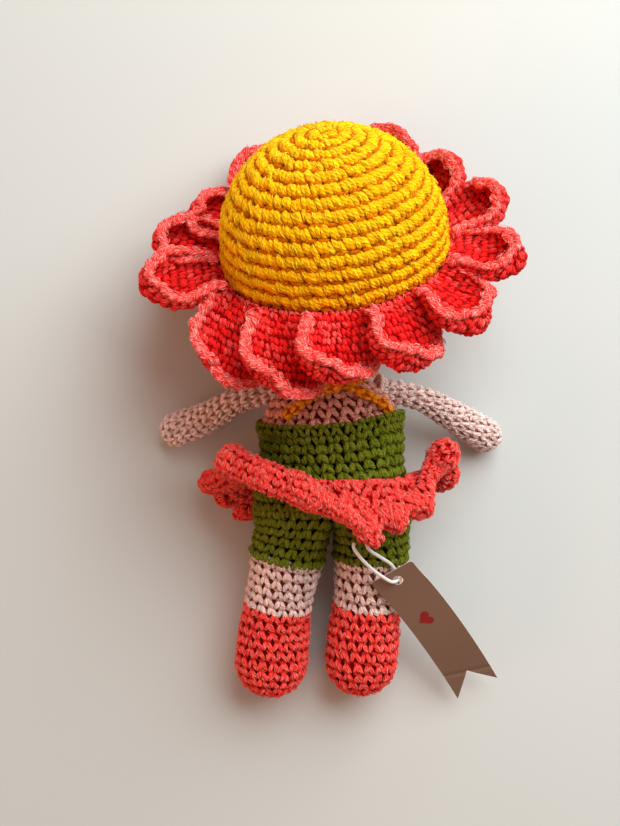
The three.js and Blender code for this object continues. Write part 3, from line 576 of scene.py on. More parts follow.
def yarn_look(name, body, groove_shade, fuzz_highlight, turn=6.5, plies=4, streaks=0.52, haze_share=1.0, sheen=0.1):
    """Acrylic yarn: twisted plies in relief, painted shade between the stitches, their plies and their
    fibres, and pale loose fibres, partly painted highlight. groove_shade is the painted shade's colour,
    fuzz_highlight the fibres'. turn is the length in which the plies turn once, streaks how sparse the fibres
    on the yarn are and haze_share how much of them lies on the ordinary stitches."""
    look = bpy.data.materials.new(name)
    look.use_nodes = True
    tree = look.node_tree
    shader = tree.nodes["Principled BSDF"]

    def node(kind, **values):
        made = tree.nodes.new(kind)
        for key, value in values.items():
            setattr(made, key, value)
        return made

    def sum_of(operation, first, second):
        made = node("ShaderNodeMath", operation=operation)
        for socket, value in zip(made.inputs, (first, second)):
            if isinstance(value, (int, float)):
                socket.default_value = value
            else:
                tree.links.new(value, socket)
        return made.outputs[0]

    strand = node("ShaderNodeAttribute", attribute_name="strand")
    parts = node("ShaderNodeSeparateXYZ")
    tree.links.new(strand.outputs["Vector"], parts.inputs[0])
    angle = sum_of("ARCTAN2", parts.outputs["Y"], parts.outputs["X"])
    turned = sum_of("ADD", angle, sum_of("MULTIPLY", parts.outputs["Z"], 2 * math.pi / turn))
    ply = sum_of("COSINE", sum_of("MULTIPLY", turned, plies), 0.0)
    shade = node("ShaderNodeAttribute", attribute_name="shade")
    own = node("ShaderNodeSeparateXYZ")
    tree.links.new(shade.outputs["Vector"], own.inputs[0])
    lay = node("ShaderNodeCombineXYZ")
    tree.links.new(sum_of("COSINE", turned, 0.0), lay.inputs["X"])
    tree.links.new(sum_of("SINE", turned, 0.0), lay.inputs["Y"])
    tree.links.new(sum_of("MULTIPLY", parts.outputs["Z"], 0.16), lay.inputs["Z"])
    fibres = node("ShaderNodeTexNoise")
    fibres.inputs["Scale"].default_value = 4.5
    fibres.inputs["Detail"].default_value = 3
    fibres.inputs["Roughness"].default_value = 0.62
    tree.links.new(lay.outputs[0], fibres.inputs["Vector"])
    specks = node("ShaderNodeTexNoise")
    specks.inputs["Scale"].default_value = 420
    specks.inputs["Detail"].default_value = 2
    place = node("ShaderNodeTexCoord")
    tree.links.new(place.outputs["Object"], specks.inputs["Vector"])

    # Painted shade: the colour runs from groove_shade, low on each stitch and between its fibres, to the
    # yarn's own colour on its top.
    depth = node("ShaderNodeValToRGB")
    depth.color_ramp.interpolation = "EASE"
    depth.color_ramp.elements[0].position = 0.1
    depth.color_ramp.elements[0].color = (*groove_shade, 1)
    depth.color_ramp.elements[1].position = 0.7
    depth.color_ramp.elements[1].color = (*body, 1)
    between = sum_of("MULTIPLY", sum_of("SUBTRACT", fibres.outputs["Fac"], 0.5), 1.3)
    tree.links.new(sum_of("ADD", own.outputs["Y"], between), depth.inputs["Fac"])
    # The pale fibre colour goes most on the raised tops of the stitches and on pale marks: partly the fibres'
    # own paleness, partly painted highlight.
    haze = node("ShaderNodeMix", data_type="RGBA", blend_type="MIX")
    streak = sum_of("MULTIPLY", sum_of("SUBTRACT", fibres.outputs["Fac"], streaks), 9.0)
    patch = sum_of("ADD", sum_of("MULTIPLY", specks.outputs["Fac"], 1.6), -0.25)
    proud = sum_of("MULTIPLY", sum_of("MULTIPLY", own.outputs["Y"], own.outputs["Y"]), haze_share)
    raised = sum_of("ADD", proud, own.outputs["Z"])
    single = sum_of("MAXIMUM", sum_of("SUBTRACT", own.outputs["Z"], 1.0), 0.0)
    loose = sum_of("MULTIPLY", sum_of("MULTIPLY", sum_of("MAXIMUM", streak, 0.0), patch), raised)
    loose = sum_of("ADD", loose, single)
    tree.links.new(sum_of("MINIMUM", loose, 0.85), haze.inputs[0])
    tree.links.new(depth.outputs["Color"], haze.inputs[6])
    haze.inputs[7].default_value = (*fuzz_highlight, 1)
    # Painted shade darkens the grooves between the plies, and each stitch gets its own tone.
    ply_shade_and_tone = node("ShaderNodeHueSaturation")
    ply_light = sum_of("MULTIPLY", ply, 0.17)
    own_light = sum_of("MULTIPLY", sum_of("SUBTRACT", own.outputs["X"], 0.5), 0.30)
    tree.links.new(sum_of("ADD", sum_of("ADD", ply_light, own_light), 1.0), ply_shade_and_tone.inputs["Value"])
    tree.links.new(haze.outputs[2], ply_shade_and_tone.inputs["Color"])
    tree.links.new(ply_shade_and_tone.outputs["Color"], shader.inputs["Base Color"])

    height = sum_of("ADD", sum_of("MULTIPLY", ply, 0.4), sum_of("MULTIPLY", fibres.outputs["Fac"], 0.9))
    height = sum_of("MULTIPLY", height, sum_of("LESS_THAN", own.outputs["Z"], 1.0))
    bump = node("ShaderNodeBump")
    bump.inputs["Strength"].default_value = 0.8
    bump.inputs["Distance"].default_value = 0.00034
    tree.links.new(height, bump.inputs["Height"])
    tree.links.new(bump.outputs["Normal"], shader.inputs["Normal"])
    shader.inputs["Roughness"].default_value = 0.85
    shader.inputs["Specular IOR Level"].default_value = 0.05
    shader.inputs["Sheen Weight"].default_value = sheen
    shader.inputs["Sheen Roughness"].default_value = 0.4
    shader.inputs["Sheen Tint"].default_value = (*fuzz_highlight, 1)
    return look


green_yarn = yarn_look("green_yarn", (0.145, 0.170, 0.005), (0.007, 0.008, 0.0), (0.32, 0.37, 0.07))
skin_yarn = yarn_look("skin_yarn", (0.95, 0.66, 0.60), (0.26, 0.05, 0.035), (0.99, 0.88, 0.85))
# Copies of the skin yarn: shaded_skin_yarn with painted shade for the chest under the petals, lit_skin_yarn
# with painted light for the arms.
shaded_skin_yarn = yarn_look("shaded_skin_yarn", (0.86, 0.36, 0.27), (0.22, 0.016, 0.008), (0.95, 0.62, 0.53))
lit_skin_yarn = yarn_look("lit_skin_yarn", (0.99, 0.76, 0.71), (0.60, 0.28, 0.22), (0.99, 0.92, 0.90))


def body_section(distance):
    """The body's half width, half depth and height of its middle, at a distance from the crotch."""
    width, depth, height = (eased(body_shares, column, distance / body_length) for column in (1, 2, 3))
    return body_half_width * width, body_half_depth * depth, body_half_depth * height


def on_body(distance, degrees, proud=0.0):
    """Points round the body at degrees from +X, standing proud of it by as much as is given."""
    width, depth, height = body_section(distance)
    angle = np.radians(degrees)
    across = (width + proud) * np.cos(angle)
    along = 0 * angle + distance - crotch_to_belly
    return np.stack([across, along, height + (depth + proud) * np.sin(angle)], -1)


def body_fabric(foot, top):
    """The body's surface between two distances from the crotch, either of which may differ round it."""
    shares = np.linspace(0, 1, body_rows)
    return Fabric([on_body(foot + (top - foot) * share, degrees_round) for share in shares])


# The turned edge runs unevenly round the body. Degrees round it from +X, and distance from the crotch
edge_table = np.array(
    [
        [0, 57.4],
        [25, 57.6],
        [55, 55.2],
        [80, 52.9],
        [115, 51.7],
        [150, 52.2],
        [180, 53.4],
        [230, 54.4],
        [290, 55.4],
        [330, 56.6],
        [360, 57.4],
    ]
)
edge_height = 4.6
romper_tuck = 1.4  # how far the romper runs up under the edge
chest_tuck = 2.8  # how far above the edge's foot the chest begins
edge_stitches = 37
edge_line = eased(edge_table, 1, degrees_round)

romper_fabric = body_fabric(romper_foot, edge_line - edge_height + romper_tuck)
romper_ways = {"yarn": 1.3, "rise": (-0.02, 1.0), "arch": 0.7}
romper_rounds = romper_fabric.rounds(stitch_tall, stitch_wide)
romper = crochet("romper_body", romper_fabric, romper_rounds, green_yarn, 11, **romper_ways)
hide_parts("romper")
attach(romper, "torso")

edge_profile = [(-0.6, -0.9), (0.0, 0.7), (0.35, 2.0), (0.75, 2.5), (1.0, 1.9), (1.05, 0.6), (0.85, -0.8)]
edge_middle = on_body(edge_line, degrees_round)
edge_out = Fabric([edge_middle - (0, 1, 0), edge_middle, edge_middle + (0, 1, 0)]).normals[1]
edge_out = unit(edge_out * (1, 0.2, 1))
edge_fabric = Fabric(
    [edge_middle + (0, edge_height * (up - 1), 0) + proud * edge_out for up, proud in edge_profile]
)
edge_rounds = [(0.9, 3.2, edge_stitches), (3.3, 4.6, edge_stitches)]
edge_ways = {"yarn": 1.05, "under": 0.8, "drawn_in": 0.4, "arch": 0.5, "sunk": 0.2}
turned_edge = crochet("romper_edge", edge_fabric, edge_rounds, green_yarn, 13, **edge_ways)
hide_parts("romper_cuff")
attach(turned_edge, "torso")

chest_fabric = body_fabric(edge_line - edge_height + chest_tuck, chest_top + 1)
chest_rounds = chest_fabric.rounds(stitch_tall, stitch_wide)
chest = crochet("chest_fabric", chest_fabric, chest_rounds, shaded_skin_yarn, 12)
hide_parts("chest")
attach(chest, "torso")

# The stuffing
# Loose white polyester fibre fills the body, the head, the arms and the legs. It stays inside the yarn.
filling = speckled("white_filling", (0.74, 0.73, 0.70), (0.95, 0.94, 0.92), 900, 0.95, detail=6)
for name in ("body", "neck", "head", "left_arm", "right_arm", "left_leg", "right_leg"):
    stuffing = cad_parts[name + "_stuffing"]
    stuffing.data.materials.clear()
    stuffing.data.materials.append(filling)

# The legs
# Each is one stuffed tube worked up from the toe: coral for the shoe, skin for the calf and green for the
# short leg, which runs into the romper.
leg_radius = 15.4
leg_long = 57.5
leg_stitch_tall = 4.3
leg_stitch_wide = 4.9
shoe_rows = 40
calf_rows = 30
short_leg_rows = 34
hem_share = 0.22
shoe_share = 0.58
colour_gap = 0.012  # the share of the leg from a change of colour to the rounds on either side
hem_cover = 0.04  # the share of it that the calf runs up under the hem
root_share = 0.18  # the share of it by which the short leg starts above the leg's own line
root_top = 1.5  # how far up in the romper the short leg starts
root_drop = 16.5  # how far down the body its rounds come on their way out
wall_out = 0.15  # from the body's middle to the wall between the two short legs
short_leg_proud = 0.35  # of the calf under it
calf_drawn_in = 0.2
limb_columns = 64
limb_steps = 60
limb_opening = 0.12  # the share of its radius that a limb's last ring keeps
leg_routes = {
    "left": [(-16.6, -36, 24), (-20, -54, 21), (-23.4, -73, 17), (-25.4, -92, 14.9)],
    "right": [(16.6, -36, 24), (15.9, -54, 21), (14.2, -73, 17.4), (12.6, -91.2, 15.4)],
}
leg_radius_shares = np.array([[0.0, 0.987], [0.2, 1.01], [0.35, 0.95], [0.6, 0.93], [0.8, 0.99], [1.0, 1.0]])
outward_columns = np.linspace(0, 360, limb_columns, endpoint=False)


def limb_ring(line, directions, share, radius):
    """A ring of points square to a limb's line, at a share of its length that may lie beyond its ends."""
    steps = len(line) - 1
    at = np.clip(share, 0, 1) * steps
    low = min(int(at), steps - 1)
    middle = line[low] + (line[low + 1] - line[low]) * (at - low)
    along = directions[round(at)]
    middle = middle + along * (share - np.clip(share, 0, 1)) * length_of(line)
    across = np.cross((0, 0, 1), along)
    across = across / np.linalg.norm(across)
    up = np.cross(along, across)
    angle = np.radians(outward_columns)[:, None]
    return middle + radius * (np.cos(angle) * across + np.sin(angle) * up)


def limb_fabric(route, radius_at, first, last, rows):
    """A limb's surface from one share of its length to another. Past its ends it closes in a ball."""
    line, directions = curve_through(route, limb_steps)
    long = length_of(line)
    rings = []
    for share in np.linspace(first, last, rows):
        radius = radius_at(np.clip(share, 0, 1))
        beyond = max(share - 1, -share, 0) * long
        shrunk = radius * math.sqrt(max(limb_opening**2, 1 - (beyond / radius) ** 2))
        rings.append(limb_ring(line, directions, share, shrunk))
    return Fabric(rings)


def half_body_ring(distance, side):
    """One side of the body's ring and the wall down its middle, in the order of a leg's ring."""
    width, depth, height = body_section(distance)
    ring = []
    for degrees in (outward_columns + 180) % 360 - 180:
        steep = abs(degrees)
        if steep <= 135:
            ellipse = math.radians(min(steep, 90) * 60 / 90 + max(0, steep - 90) * 30 / 45)
            out = wall_out + (width - wall_out) * math.cos(ellipse)
            over = depth * math.sin(ellipse)
        else:
            out, over = wall_out, depth * (180 - steep) / 45
        ring.append((side * out, distance - crotch_to_belly, height + math.copysign(over, degrees)))
    return np.array(ring)


def gradual(value, low, high):
    way = np.clip((value - low) / (high - low), 0, 1)
    return way * way * (3 - 2 * way)


coral_yarn = yarn_look("coral_yarn", (1.0, 0.040, 0.034), (0.34, 0.001, 0.002), (1.0, 0.42, 0.34))


def leg_width(share):
    return leg_radius * eased(leg_radius_shares, 1, share)


def calf_width(share):
    return leg_width(share) - calf_drawn_in


for name, side, seed in (("left", -1, 21), ("right", 1, 31)):
    body_name = name + "_leg"
    route = leg_routes[name]
    toe = 1 + leg_width(1) / leg_long
    shoe_fabric = limb_fabric(route, leg_width, toe, shoe_share - colour_gap, shoe_rows)
    shoe_rounds = shoe_fabric.rounds(leg_stitch_tall, leg_stitch_wide, least=6)
    shoe = crochet(name + "_shoe_fabric", shoe_fabric, shoe_rounds, coral_yarn, seed)
    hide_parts(name + "_shoe")
    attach(shoe, body_name)

    calf_fabric = limb_fabric(route, calf_width, shoe_share + colour_gap, hem_share - hem_cover, calf_rows)
    calf_rounds = calf_fabric.rounds(leg_stitch_tall, leg_stitch_wide)
    calf = crochet(name + "_calf_fabric", calf_fabric, calf_rounds, skin_yarn, seed + 1)
    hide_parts(name + "_calf")
    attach(calf, body_name)

    line, directions = curve_through(route, limb_steps)
    rings = []
    for way in np.linspace(1, 0, short_leg_rows):
        of_body = half_body_ring(romper_foot + root_top - root_drop * way, side)
        leg_share = -root_share + (hem_share + root_share) * way
        radius = leg_width(max(0, way - 0.5) * 0.4) + short_leg_proud
        ring = limb_ring(line, directions, leg_share, radius)
        outward = ring - ring.mean(0)
        turn = np.degrees(np.arctan2(outward[:, 2], side * outward[:, 0]))
        order = np.argmin(np.abs((turn[None, :] - outward_columns[:, None] + 180) % 360 - 180), 1)
        share = gradual(way, 0.1, 0.85)
        rings.append(of_body * (1 - share) + ring[order] * share)
    short_fabric = Fabric(rings)
    short_rounds = short_fabric.rounds(stitch_tall, 5.0)
    short_name = name + "_short_leg_fabric"
    short_leg = crochet(short_name, short_fabric, short_rounds, green_yarn, seed + 2, **romper_ways)
    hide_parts(name + "_short_leg")
    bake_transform(short_leg)

# The arms
# Thin stuffed tubes worked from the hand up and sewn to the shoulders with a round of skin-coloured yarn.
arm_radius = 7.6
arm_rows = 64
arm_stitch_tall = 4.0
arm_stitch_wide = 4.1
arm_routes = {
    "left": [(-21.5, 22.6, 29.5), (-38, 18.6, 25), (-53, 11, 15), (-66, 6, 8)],
    "right": [(21.5, 22.6, 29.5), (38, 18.6, 24.5), (52, 11.5, 15), (66, 3.6, 7.6)],
}
arm_radius_shares = np.array([[0.0, 0.68], [0.25, 0.7], [0.5, 0.82], [0.75, 0.94], [1.0, 1.0]])
arm_ways = {"yarn": 1.15, "under": 1.0, "sunk": 0.7, "arch": 0.6}
shoulder_ball = 5.2
seam_yarn = 1.5
seam_set_back = 3
seam_sunk = 1.2
seam_steps = 60
seam_twist = (4.5, 3, 0.1)


def arm_width(share):
    return arm_radius * eased(arm_radius_shares, 1, share)


for name, seed in (("left", 41), ("right", 46)):
    line, directions = curve_through(arm_routes[name], limb_steps)
    long = length_of(line)
    hand, shoulder = 1 + arm_width(1) / long, -arm_width(0) / long
    arm_fabric = limb_fabric(arm_routes[name], arm_width, hand, shoulder, arm_rows)
    arm_rounds = arm_fabric.rounds(arm_stitch_tall, arm_stitch_wide)
    arm = crochet(name + "_arm_fabric", arm_fabric, arm_rounds, lit_skin_yarn, seed, **arm_ways)
    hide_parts(name + "_arm")
    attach(arm, name + "_arm")

    reach = shoulder_ball + 0.3 + seam_yarn
    radius = math.sqrt(reach**2 - seam_set_back**2) - seam_sunk
    middle = line[0] - directions[0] * seam_set_back
    across = unit(np.cross((0, 0, 1), directions[0]))
    up = np.cross(directions[0], across)
    turn = np.linspace(0, 2 * np.pi, seam_steps)[:, None]
    ring = middle + radius * (np.cos(turn) * across + np.sin(turn) * up)
    seam = tube(ring, unit(np.gradient(ring, axis=0)), seam_yarn * 0.75, 12, *seam_twist)
    sewn = make_piece(name + "_shoulder_yarn", seam, skin_yarn)
    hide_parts(name + "_shoulder_seam")
    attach(sewn, name + "_shoulder")

# The neck and the head
# A short stuffed tube stands in the chest and carries the head, a stuffed ball worked from the neck up
# to the crown. Most of it is under the hat.
neck_foot = np.array((0, 27, 31.3))
head_middle = np.array((0.5, 83.2, 46.5))
neck_radius = 11
neck_low = -9  # along its line, its first ring, inside the chest
neck_high = 19  # and its last, in the head
neck_rings = 22
neck_stitch_tall = 4.3
neck_stitch_wide = 4.8
neck_columns = 48
head_radius = 42
head_foot = 165  # degrees from the crown to the ring at the neck
head_crown = 1.5
head_rings = 60
head_columns = 96
neck_axis = unit(head_middle - neck_foot)
neck_across = unit(np.cross(neck_axis, (0, 0, 1)))
neck_up = np.cross(neck_across, neck_axis)
neck_frame = (neck_axis, neck_across, neck_up)


def on_axis(middle, axis, across, up, distance, radius, columns):
    """A ring round an axis, at a distance along it from a middle."""
    angle = full_turn(columns)[:, None]
    return middle + axis * distance + radius * (np.cos(angle) * across + np.sin(angle) * up)


neck_rows = []
for distance in np.linspace(neck_low, neck_high, neck_rings):
    radius = math.sqrt(neck_radius**2 - max(0, -distance) ** 2) - 0.2
    neck_rows.append(on_axis(neck_foot, *neck_frame, distance, radius, neck_columns))
neck_fabric = Fabric(neck_rows)
neck_rounds = neck_fabric.rounds(neck_stitch_tall, neck_stitch_wide)
neck = crochet("neck_fabric", neck_fabric, neck_rounds, skin_yarn, 51, loose=0)
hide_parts("neck")
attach(neck, "neck")

head_rows = []
for degrees in np.linspace(head_foot, head_crown, head_rings):
    turn = math.radians(degrees)
    along, out = head_radius * math.cos(turn), head_radius * math.sin(turn)
    head_rows.append(on_axis(head_middle, *neck_frame, along, out, head_columns))
head_fabric = Fabric(head_rows)
head_rounds = head_fabric.rounds(stitch_tall, stitch_wide, least=6)
head = crochet("head_fabric", head_fabric, head_rounds, skin_yarn, 52, loose=0)
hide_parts("head")
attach(head, "head")

# The face
# Two black safety eyes with washers inside the head, and a small stitched mouth of red thread.
mouth_side = 8
mouth_drop = 27
mouth_sag = 4
mouth_thread_radius = 0.8
mouth_steps = 40
mouth_twist = (3.0, 3, 0.1)
eye_plastic = speckled("black_plastic", (0.006, 0.005, 0.005), (0.014, 0.012, 0.012), 700, 0.12)
eye_plastic.node_tree.nodes["Principled BSDF"].inputs["Coat Weight"].default_value = 0.6
washer_plastic = speckled("white_plastic", (0.78, 0.77, 0.74), (0.86, 0.85, 0.82), 500, 0.45)
for name in ("left", "right"):
    for part, plastic in (("_eye", eye_plastic), ("_eye_washer", washer_plastic)):
        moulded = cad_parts[name + part].data
        moulded.materials.clear()
        moulded.materials.append(plastic)
        moulded.polygons.foreach_set("use_smooth", [True] * len(moulded.polygons))

mouth_thread = yarn_look(
    "mouth_thread", (0.46, 0.045, 0.035), (0.20, 0.01, 0.01), (0.70, 0.25, 0.20), turn=2.0, plies=3
)
mouth_reach = head_radius + 0.3 + mouth_thread_radius
mouth_route = []
for share in (-1, -0.5, 0, 0.5, 1):
    down = math.radians(90 - mouth_drop + mouth_sag * share * share)
    aside = math.radians(mouth_side * share)
    below = -mouth_reach * math.sin(down)
    x, y, z = below * math.sin(aside), -mouth_reach * math.cos(down), below * math.cos(aside)
    mouth_route.append(head_middle + neck_across * x + neck_axis * y + neck_up * z)
mouth_line, mouth_directions = curve_through(mouth_route, mouth_steps)
mouth_shape = tube(mouth_line, mouth_directions, mouth_thread_radius, 12, *mouth_twist)
mouth = make_piece("mouth_thread", mouth_shape, mouth_thread)
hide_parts("mouth_stitch")
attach(mouth, "head")

# The hat
# A yellow dome worked in rounds from its crown, with a coral round at its brim. It is pulled over the
# back of the head.
hat_radius = 46
hat_wall = 3.4
brim_drop = 8
hat_lean = 57
hat_turn = 8
hat_columns = 120
hat_rings = 44
hat_drawn_in = 1.5
hat_yarn = 1.85
lining_yarn = 1.2
shell_under = 2.95  # from the hat's outside in to the shadowed yarn behind its stitches
shell_over = 0.3  # from the hat's inside out to the same
lining_over = 0.9
lean, turn = math.radians(-hat_lean), math.radians(hat_turn)
about_x = np.array(((1, 0, 0), (0, math.cos(lean), -math.sin(lean)), (0, math.sin(lean), math.cos(lean))))
about_z = np.array(((math.cos(turn), -math.sin(turn), 0), (math.sin(turn), math.cos(turn), 0), (0, 0, 1)))
hat_turned = about_z @ about_x


def in_hat(points):
    """Points given round the hat's own middle, its crown upwards, put where the hat is."""
    return np.asarray(points, float) @ hat_turned.T + head_middle


def hat_ring(height, radius):
    angle = full_turn(hat_columns)
    return in_hat(np.stack([radius * np.cos(angle), radius * np.sin(angle), 0 * angle + height], 1))


yellow_yarn = yarn_look("yellow_yarn", (0.98, 0.48, 0.001), (0.60, 0.12, 0.001), (1.0, 0.93, 0.045))


def dome_rows(radius):
    """Rings of a dome of that radius from its crown to the brim."""
    turns = np.linspace(0.02, math.pi / 2, hat_rings)
    rows = [hat_ring(radius * math.cos(turn), radius * math.sin(turn)) for turn in turns]
    return rows + [hat_ring(height, radius) for height in (-2, -4, -6, -brim_drop)]


inside = hat_radius - hat_wall
outer = Fabric(dome_rows(hat_radius - hat_drawn_in))
inner = Fabric(dome_rows(inside + lining_over))
inner.normals = -inner.normals
shell = Fabric(dome_rows(hat_radius - shell_under) + dome_rows(inside + shell_over)[::-1])
outer_rounds = outer.rounds(5.3, 3.8, first=0.4, least=6)
outer_ways = {
    "arch": 1.9,
    "sunk": 1.5,
    "slant": 0.6,
    "spread": 0.05,
    "apart": 0.21,
    "rise": (-0.04, 0.95),
    "stray": 2.4,
    "loose": 2,
}


def lit_crown(row_share, turn):
    """The rounds by the crown are paler as painted highlight, and the low ones deeper as painted shade."""
    return 0.85 * (1 - gradual(row_share, 0.08, 0.6)) - 0.15 * gradual(row_share, 0.6, 0.95)


tufts = single_stitches(outer, outer_rounds, hat_yarn, 61, pale_at=lit_crown, **outer_ways)
hat = make_piece("hat_dome", join(backing(shell, 0), tufts), yellow_yarn)
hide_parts("hat_crown")
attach(hat, "hat")
tufts = single_stitches(inner, inner.rounds(5.45, 5.0, least=6), lining_yarn, 63, loose=0)
lining = make_piece("hat_inside", tufts, yellow_yarn)
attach(lining, "hat")

band_top = -brim_drop - 0.3
band_height = 4
band_width = 4
band_outside = hat_radius - hat_wall + band_width
band_section = [
    (-0.6, 0.2),
    (-1.6, -0.2),
    (-2.0, -1.0),
    (-2.0, -2.9),
    (-1.6, -3.8),
    (0, -4.1),
    (1.5, -3.8),
    (2.0, -2.9),
    (2.0, -1.0),
    (1.6, -0.2),
    (0.6, 0.2),
]
band_middle = band_outside - band_width / 2
band_fabric = Fabric([hat_ring(band_top + down, band_middle + out) for out, down in reversed(band_section)])
band_ways = {"yarn": 1.1, "under": 0.5, "drawn_in": 0.6, "arch": 0.6, "sunk": 0.3}
band = crochet("hat_brim", band_fabric, band_fabric.rounds(4.0, 4.6), coral_yarn, 62, **band_ways)
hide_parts("hat_brim_band")
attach(band, "hat")

# The petals
# Fourteen coral spoons, each worked into the brim. The edge of each folds up into a wall, which ends in a
# rope of chain stitches and is highest at the tip.
petal_length = 40  # to its edge, before the wall is folded up
petal_half_width = 18.5
petal_thickness = 1.1  # between the backs of its stitches
petal_hold = 1.7  # from the band to the middle of the root
fold_radius = 3.8
petal_root_share = 0.6
petal_round_share = 0.45  # of the length, where the sides end and the round tip begins
petal_bowl = 3.2  # how far the flat part between the walls is dished
petal_set_in = 1.5  # how far its root reaches into the band
first_petal = 163
petal_count = 14
petal_lanes = 34
petal_steps = 34
petal_stitch_tall = 3.4
petal_stitch_wide = 3.3
petal_yarn_radius = 1.5
rim_yarn = 1.45
rim_stitch = 3.4
# Round the rim from one side to the other: where, the wall's height and the degrees that it is folded up
wall_places = np.sin(np.radians((-90, -45, 0, 45, 90)))
walls_behind = ((9.0, 100), (12.0, 115), (13.0, 120), (9.0, 100), (3.0, 45))
walls_behind_left = ((9.0, 100), (12.0, 115), (13.0, 120), (6.0, 80), (1.0, 10))
walls_beside = ((8.0, 95), (11.0, 115), (12.5, 125), (12.5, 125), (7.5, 90))
walls_in_front = ((6.5, 80), (8.0, 90), (9.0, 100), (8.0, 90), (6.5, 80))
# Each petal, from the left side over the forehead to the nape: degrees of lean, droop and roll, its share
# of the length, and its walls
petal_bends = [
    (-1, -13, -12, 1.0, walls_beside[::-1]),
    (18, -24, -6, 0.9, walls_beside),
    (12, -52, 0, 0.95, walls_in_front),
    (4, -58, 0, 1.0, walls_in_front),
    (-1, -60, 0, 1.0, walls_in_front),
    (1, -37, -4, 0.95, walls_beside),
    (10, -14, 4, 0.97, walls_beside),
    (-4, 5, 4, 0.96, walls_beside),
    (-15, 23, -4, 0.97, walls_beside),
    (-18, 34, -18, 0.97, walls_behind),
    (-16, 35, -22, 0.92, walls_behind),
    (4, 42, -26, 0.94, walls_behind_left),
    (12, 43, -26, 0.94, walls_behind_left),
    (-7, -4, -18, 1.07, walls_beside[::-1]),
]


def petal_taper(share):
    """The width of the petal's straight part as a share of its widest, at a share of that part's length."""
    return petal_root_share + (1 - petal_root_share) * np.sin(np.clip(share, 0, 1) * math.pi / 2)


def petal_sheet(x, y, lift, length, walls):
    """A flat petal's points, from its root along +X, with its edge folded up over its upper side."""
    start = petal_round_share * length
    long = length - start
    past = np.maximum(0, x - start)
    ray = np.hypot(past / long, y / petal_half_width)
    narrow = petal_taper(x / start)
    share = np.where(x < start, np.abs(y) / (petal_half_width * narrow), ray)
    aim = np.stack([past, y], -1)
    reach = np.linalg.norm(aim, axis=-1)
    edge = np.where(x < start, petal_half_width * narrow, reach / np.maximum(ray, 1e-6))
    aim = np.where(x[..., None] < start, np.stack([0 * y, np.sign(y)], -1), unit(aim))
    side = np.where(x < start, np.sign(y), np.clip(aim[..., 1], -1, 1))
    wall = np.interp(side, wall_places, [high for high, degrees in walls])
    most = np.radians(np.interp(side, wall_places, [degrees for high, degrees in walls]))
    most = np.maximum(most * gradual(x, -0.02 * length, 0.25 * length), 0.05)
    into = np.maximum(0, wall - (1 - share) * edge)
    turn = np.minimum(into / fold_radius, most)
    rest = np.maximum(0, into - fold_radius * most)
    inward = into - fold_radius * np.sin(turn) - rest * np.cos(most)
    rise = fold_radius * (1 - np.cos(turn)) + rest * np.sin(most)
    flat = np.stack([x, y], -1) - aim * (inward + lift * np.sin(turn))[..., None]
    bowl = petal_bowl * np.clip(share, 0, 0.7) ** 2
    return np.stack([flat[..., 0], flat[..., 1], rise + bowl + lift * np.cos(turn)], -1)


def petal_outline(along):
    """Half the petal's width at a share of its length, before its edge is folded up."""
    start = petal_round_share
    past = np.clip((along - start) / (1 - start), 0, 1)
    tip = np.sqrt(np.maximum(0.0008, 1 - past**2))
    return petal_half_width * np.where(along < start, petal_taper(along / start), tip)


def petal_rim(length, inward):
    """Places round the petal's edge, from one side of its root to the other, a little way inward."""
    t = np.linspace(-np.pi / 2, np.pi / 2, 60)
    start = petal_round_share * length
    round_x = start + (length - start - inward) * np.cos(t)
    round_y = (petal_half_width - inward) * np.sin(t)
    side_x = np.linspace(0.1 * length, start, 20, endpoint=False)
    side_y = petal_outline(side_x / length) - inward
    x = np.concatenate([side_x, round_x, side_x[::-1]])
    y = np.concatenate([-side_y, round_y, side_y[::-1]])
    return x, y


def bent_petal(points, lean, roll, droop, around):
    """The petal leaned, rolled about its own line and drooped, then put at its place round the brim."""
    x, y, z = points[..., 0], points[..., 1], points[..., 2]
    twist = roll * np.clip(x / (0.5 * petal_length), 0, 1)
    y, z = y * np.cos(twist) - z * np.sin(twist), y * np.sin(twist) + z * np.cos(twist)
    x, y = x * math.cos(lean), y + x * math.sin(lean)
    x = x - np.clip(1 - x / petal_length, 0, 1) * y**2 / (2 * band_outside)
    x, z = x * math.cos(droop) + z * math.sin(droop), z * math.cos(droop) - x * math.sin(droop)
    x = x + band_outside + petal_hold * abs(math.sin(droop)) - petal_set_in
    z = z + band_top - band_height / 2
    x, y = x * math.cos(around) - y * math.sin(around), x * math.sin(around) + y * math.cos(around)
    return in_hat(np.stack([x, y, z], -1))


def chain_rope(line, out, yarn, pitch, pale, rng):
    """A rope of chain stitches along a line: each stitch is two strands that wrap the edge."""
    run = run_along(line)
    count = max(2, round(run[-1] / pitch))
    t = np.linspace(0, 1, stitch_rings)
    bow = np.sin(np.pi * t)
    along = unit(np.gradient(line, axis=0))
    across = unit(np.cross(out, along))
    made = []
    for side in (-1, 1):
        at = (np.arange(count)[:, None] - 0.2 + 1.35 * t + 0.25 * (side > 0)) * run[-1] / count
        at = np.clip(at + rng.normal(0, 0.12, (count, 1)), 0, run[-1])
        place, outward, sideways = (
            np.stack([np.interp(at, run, field[:, axis]) for axis in range(3)], -1)
            for field in (line, out, across)
        )
        aside = side * yarn * (0.95 - 0.75 * t + rng.normal(0, 0.12, (count, 1)))
        lift = yarn * (0.1 + 0.55 * bow + rng.normal(0, 0.1, (count, 1)))
        centres = place + sideways * aside[..., None] + outward * lift[..., None]
        radii = yarn * (0.5 + 0.5 * bow**0.6) * (1 + rng.normal(0, 0.07, (count, 1)))
        outward = unit(outward)
        made.append(lobes(centres, outward, radii, yarn_flat, rng, pale=pale))
        made.append(fluff(centres, outward, radii, 3, rng, stand=0.6))
    return facing_out(join(*made))


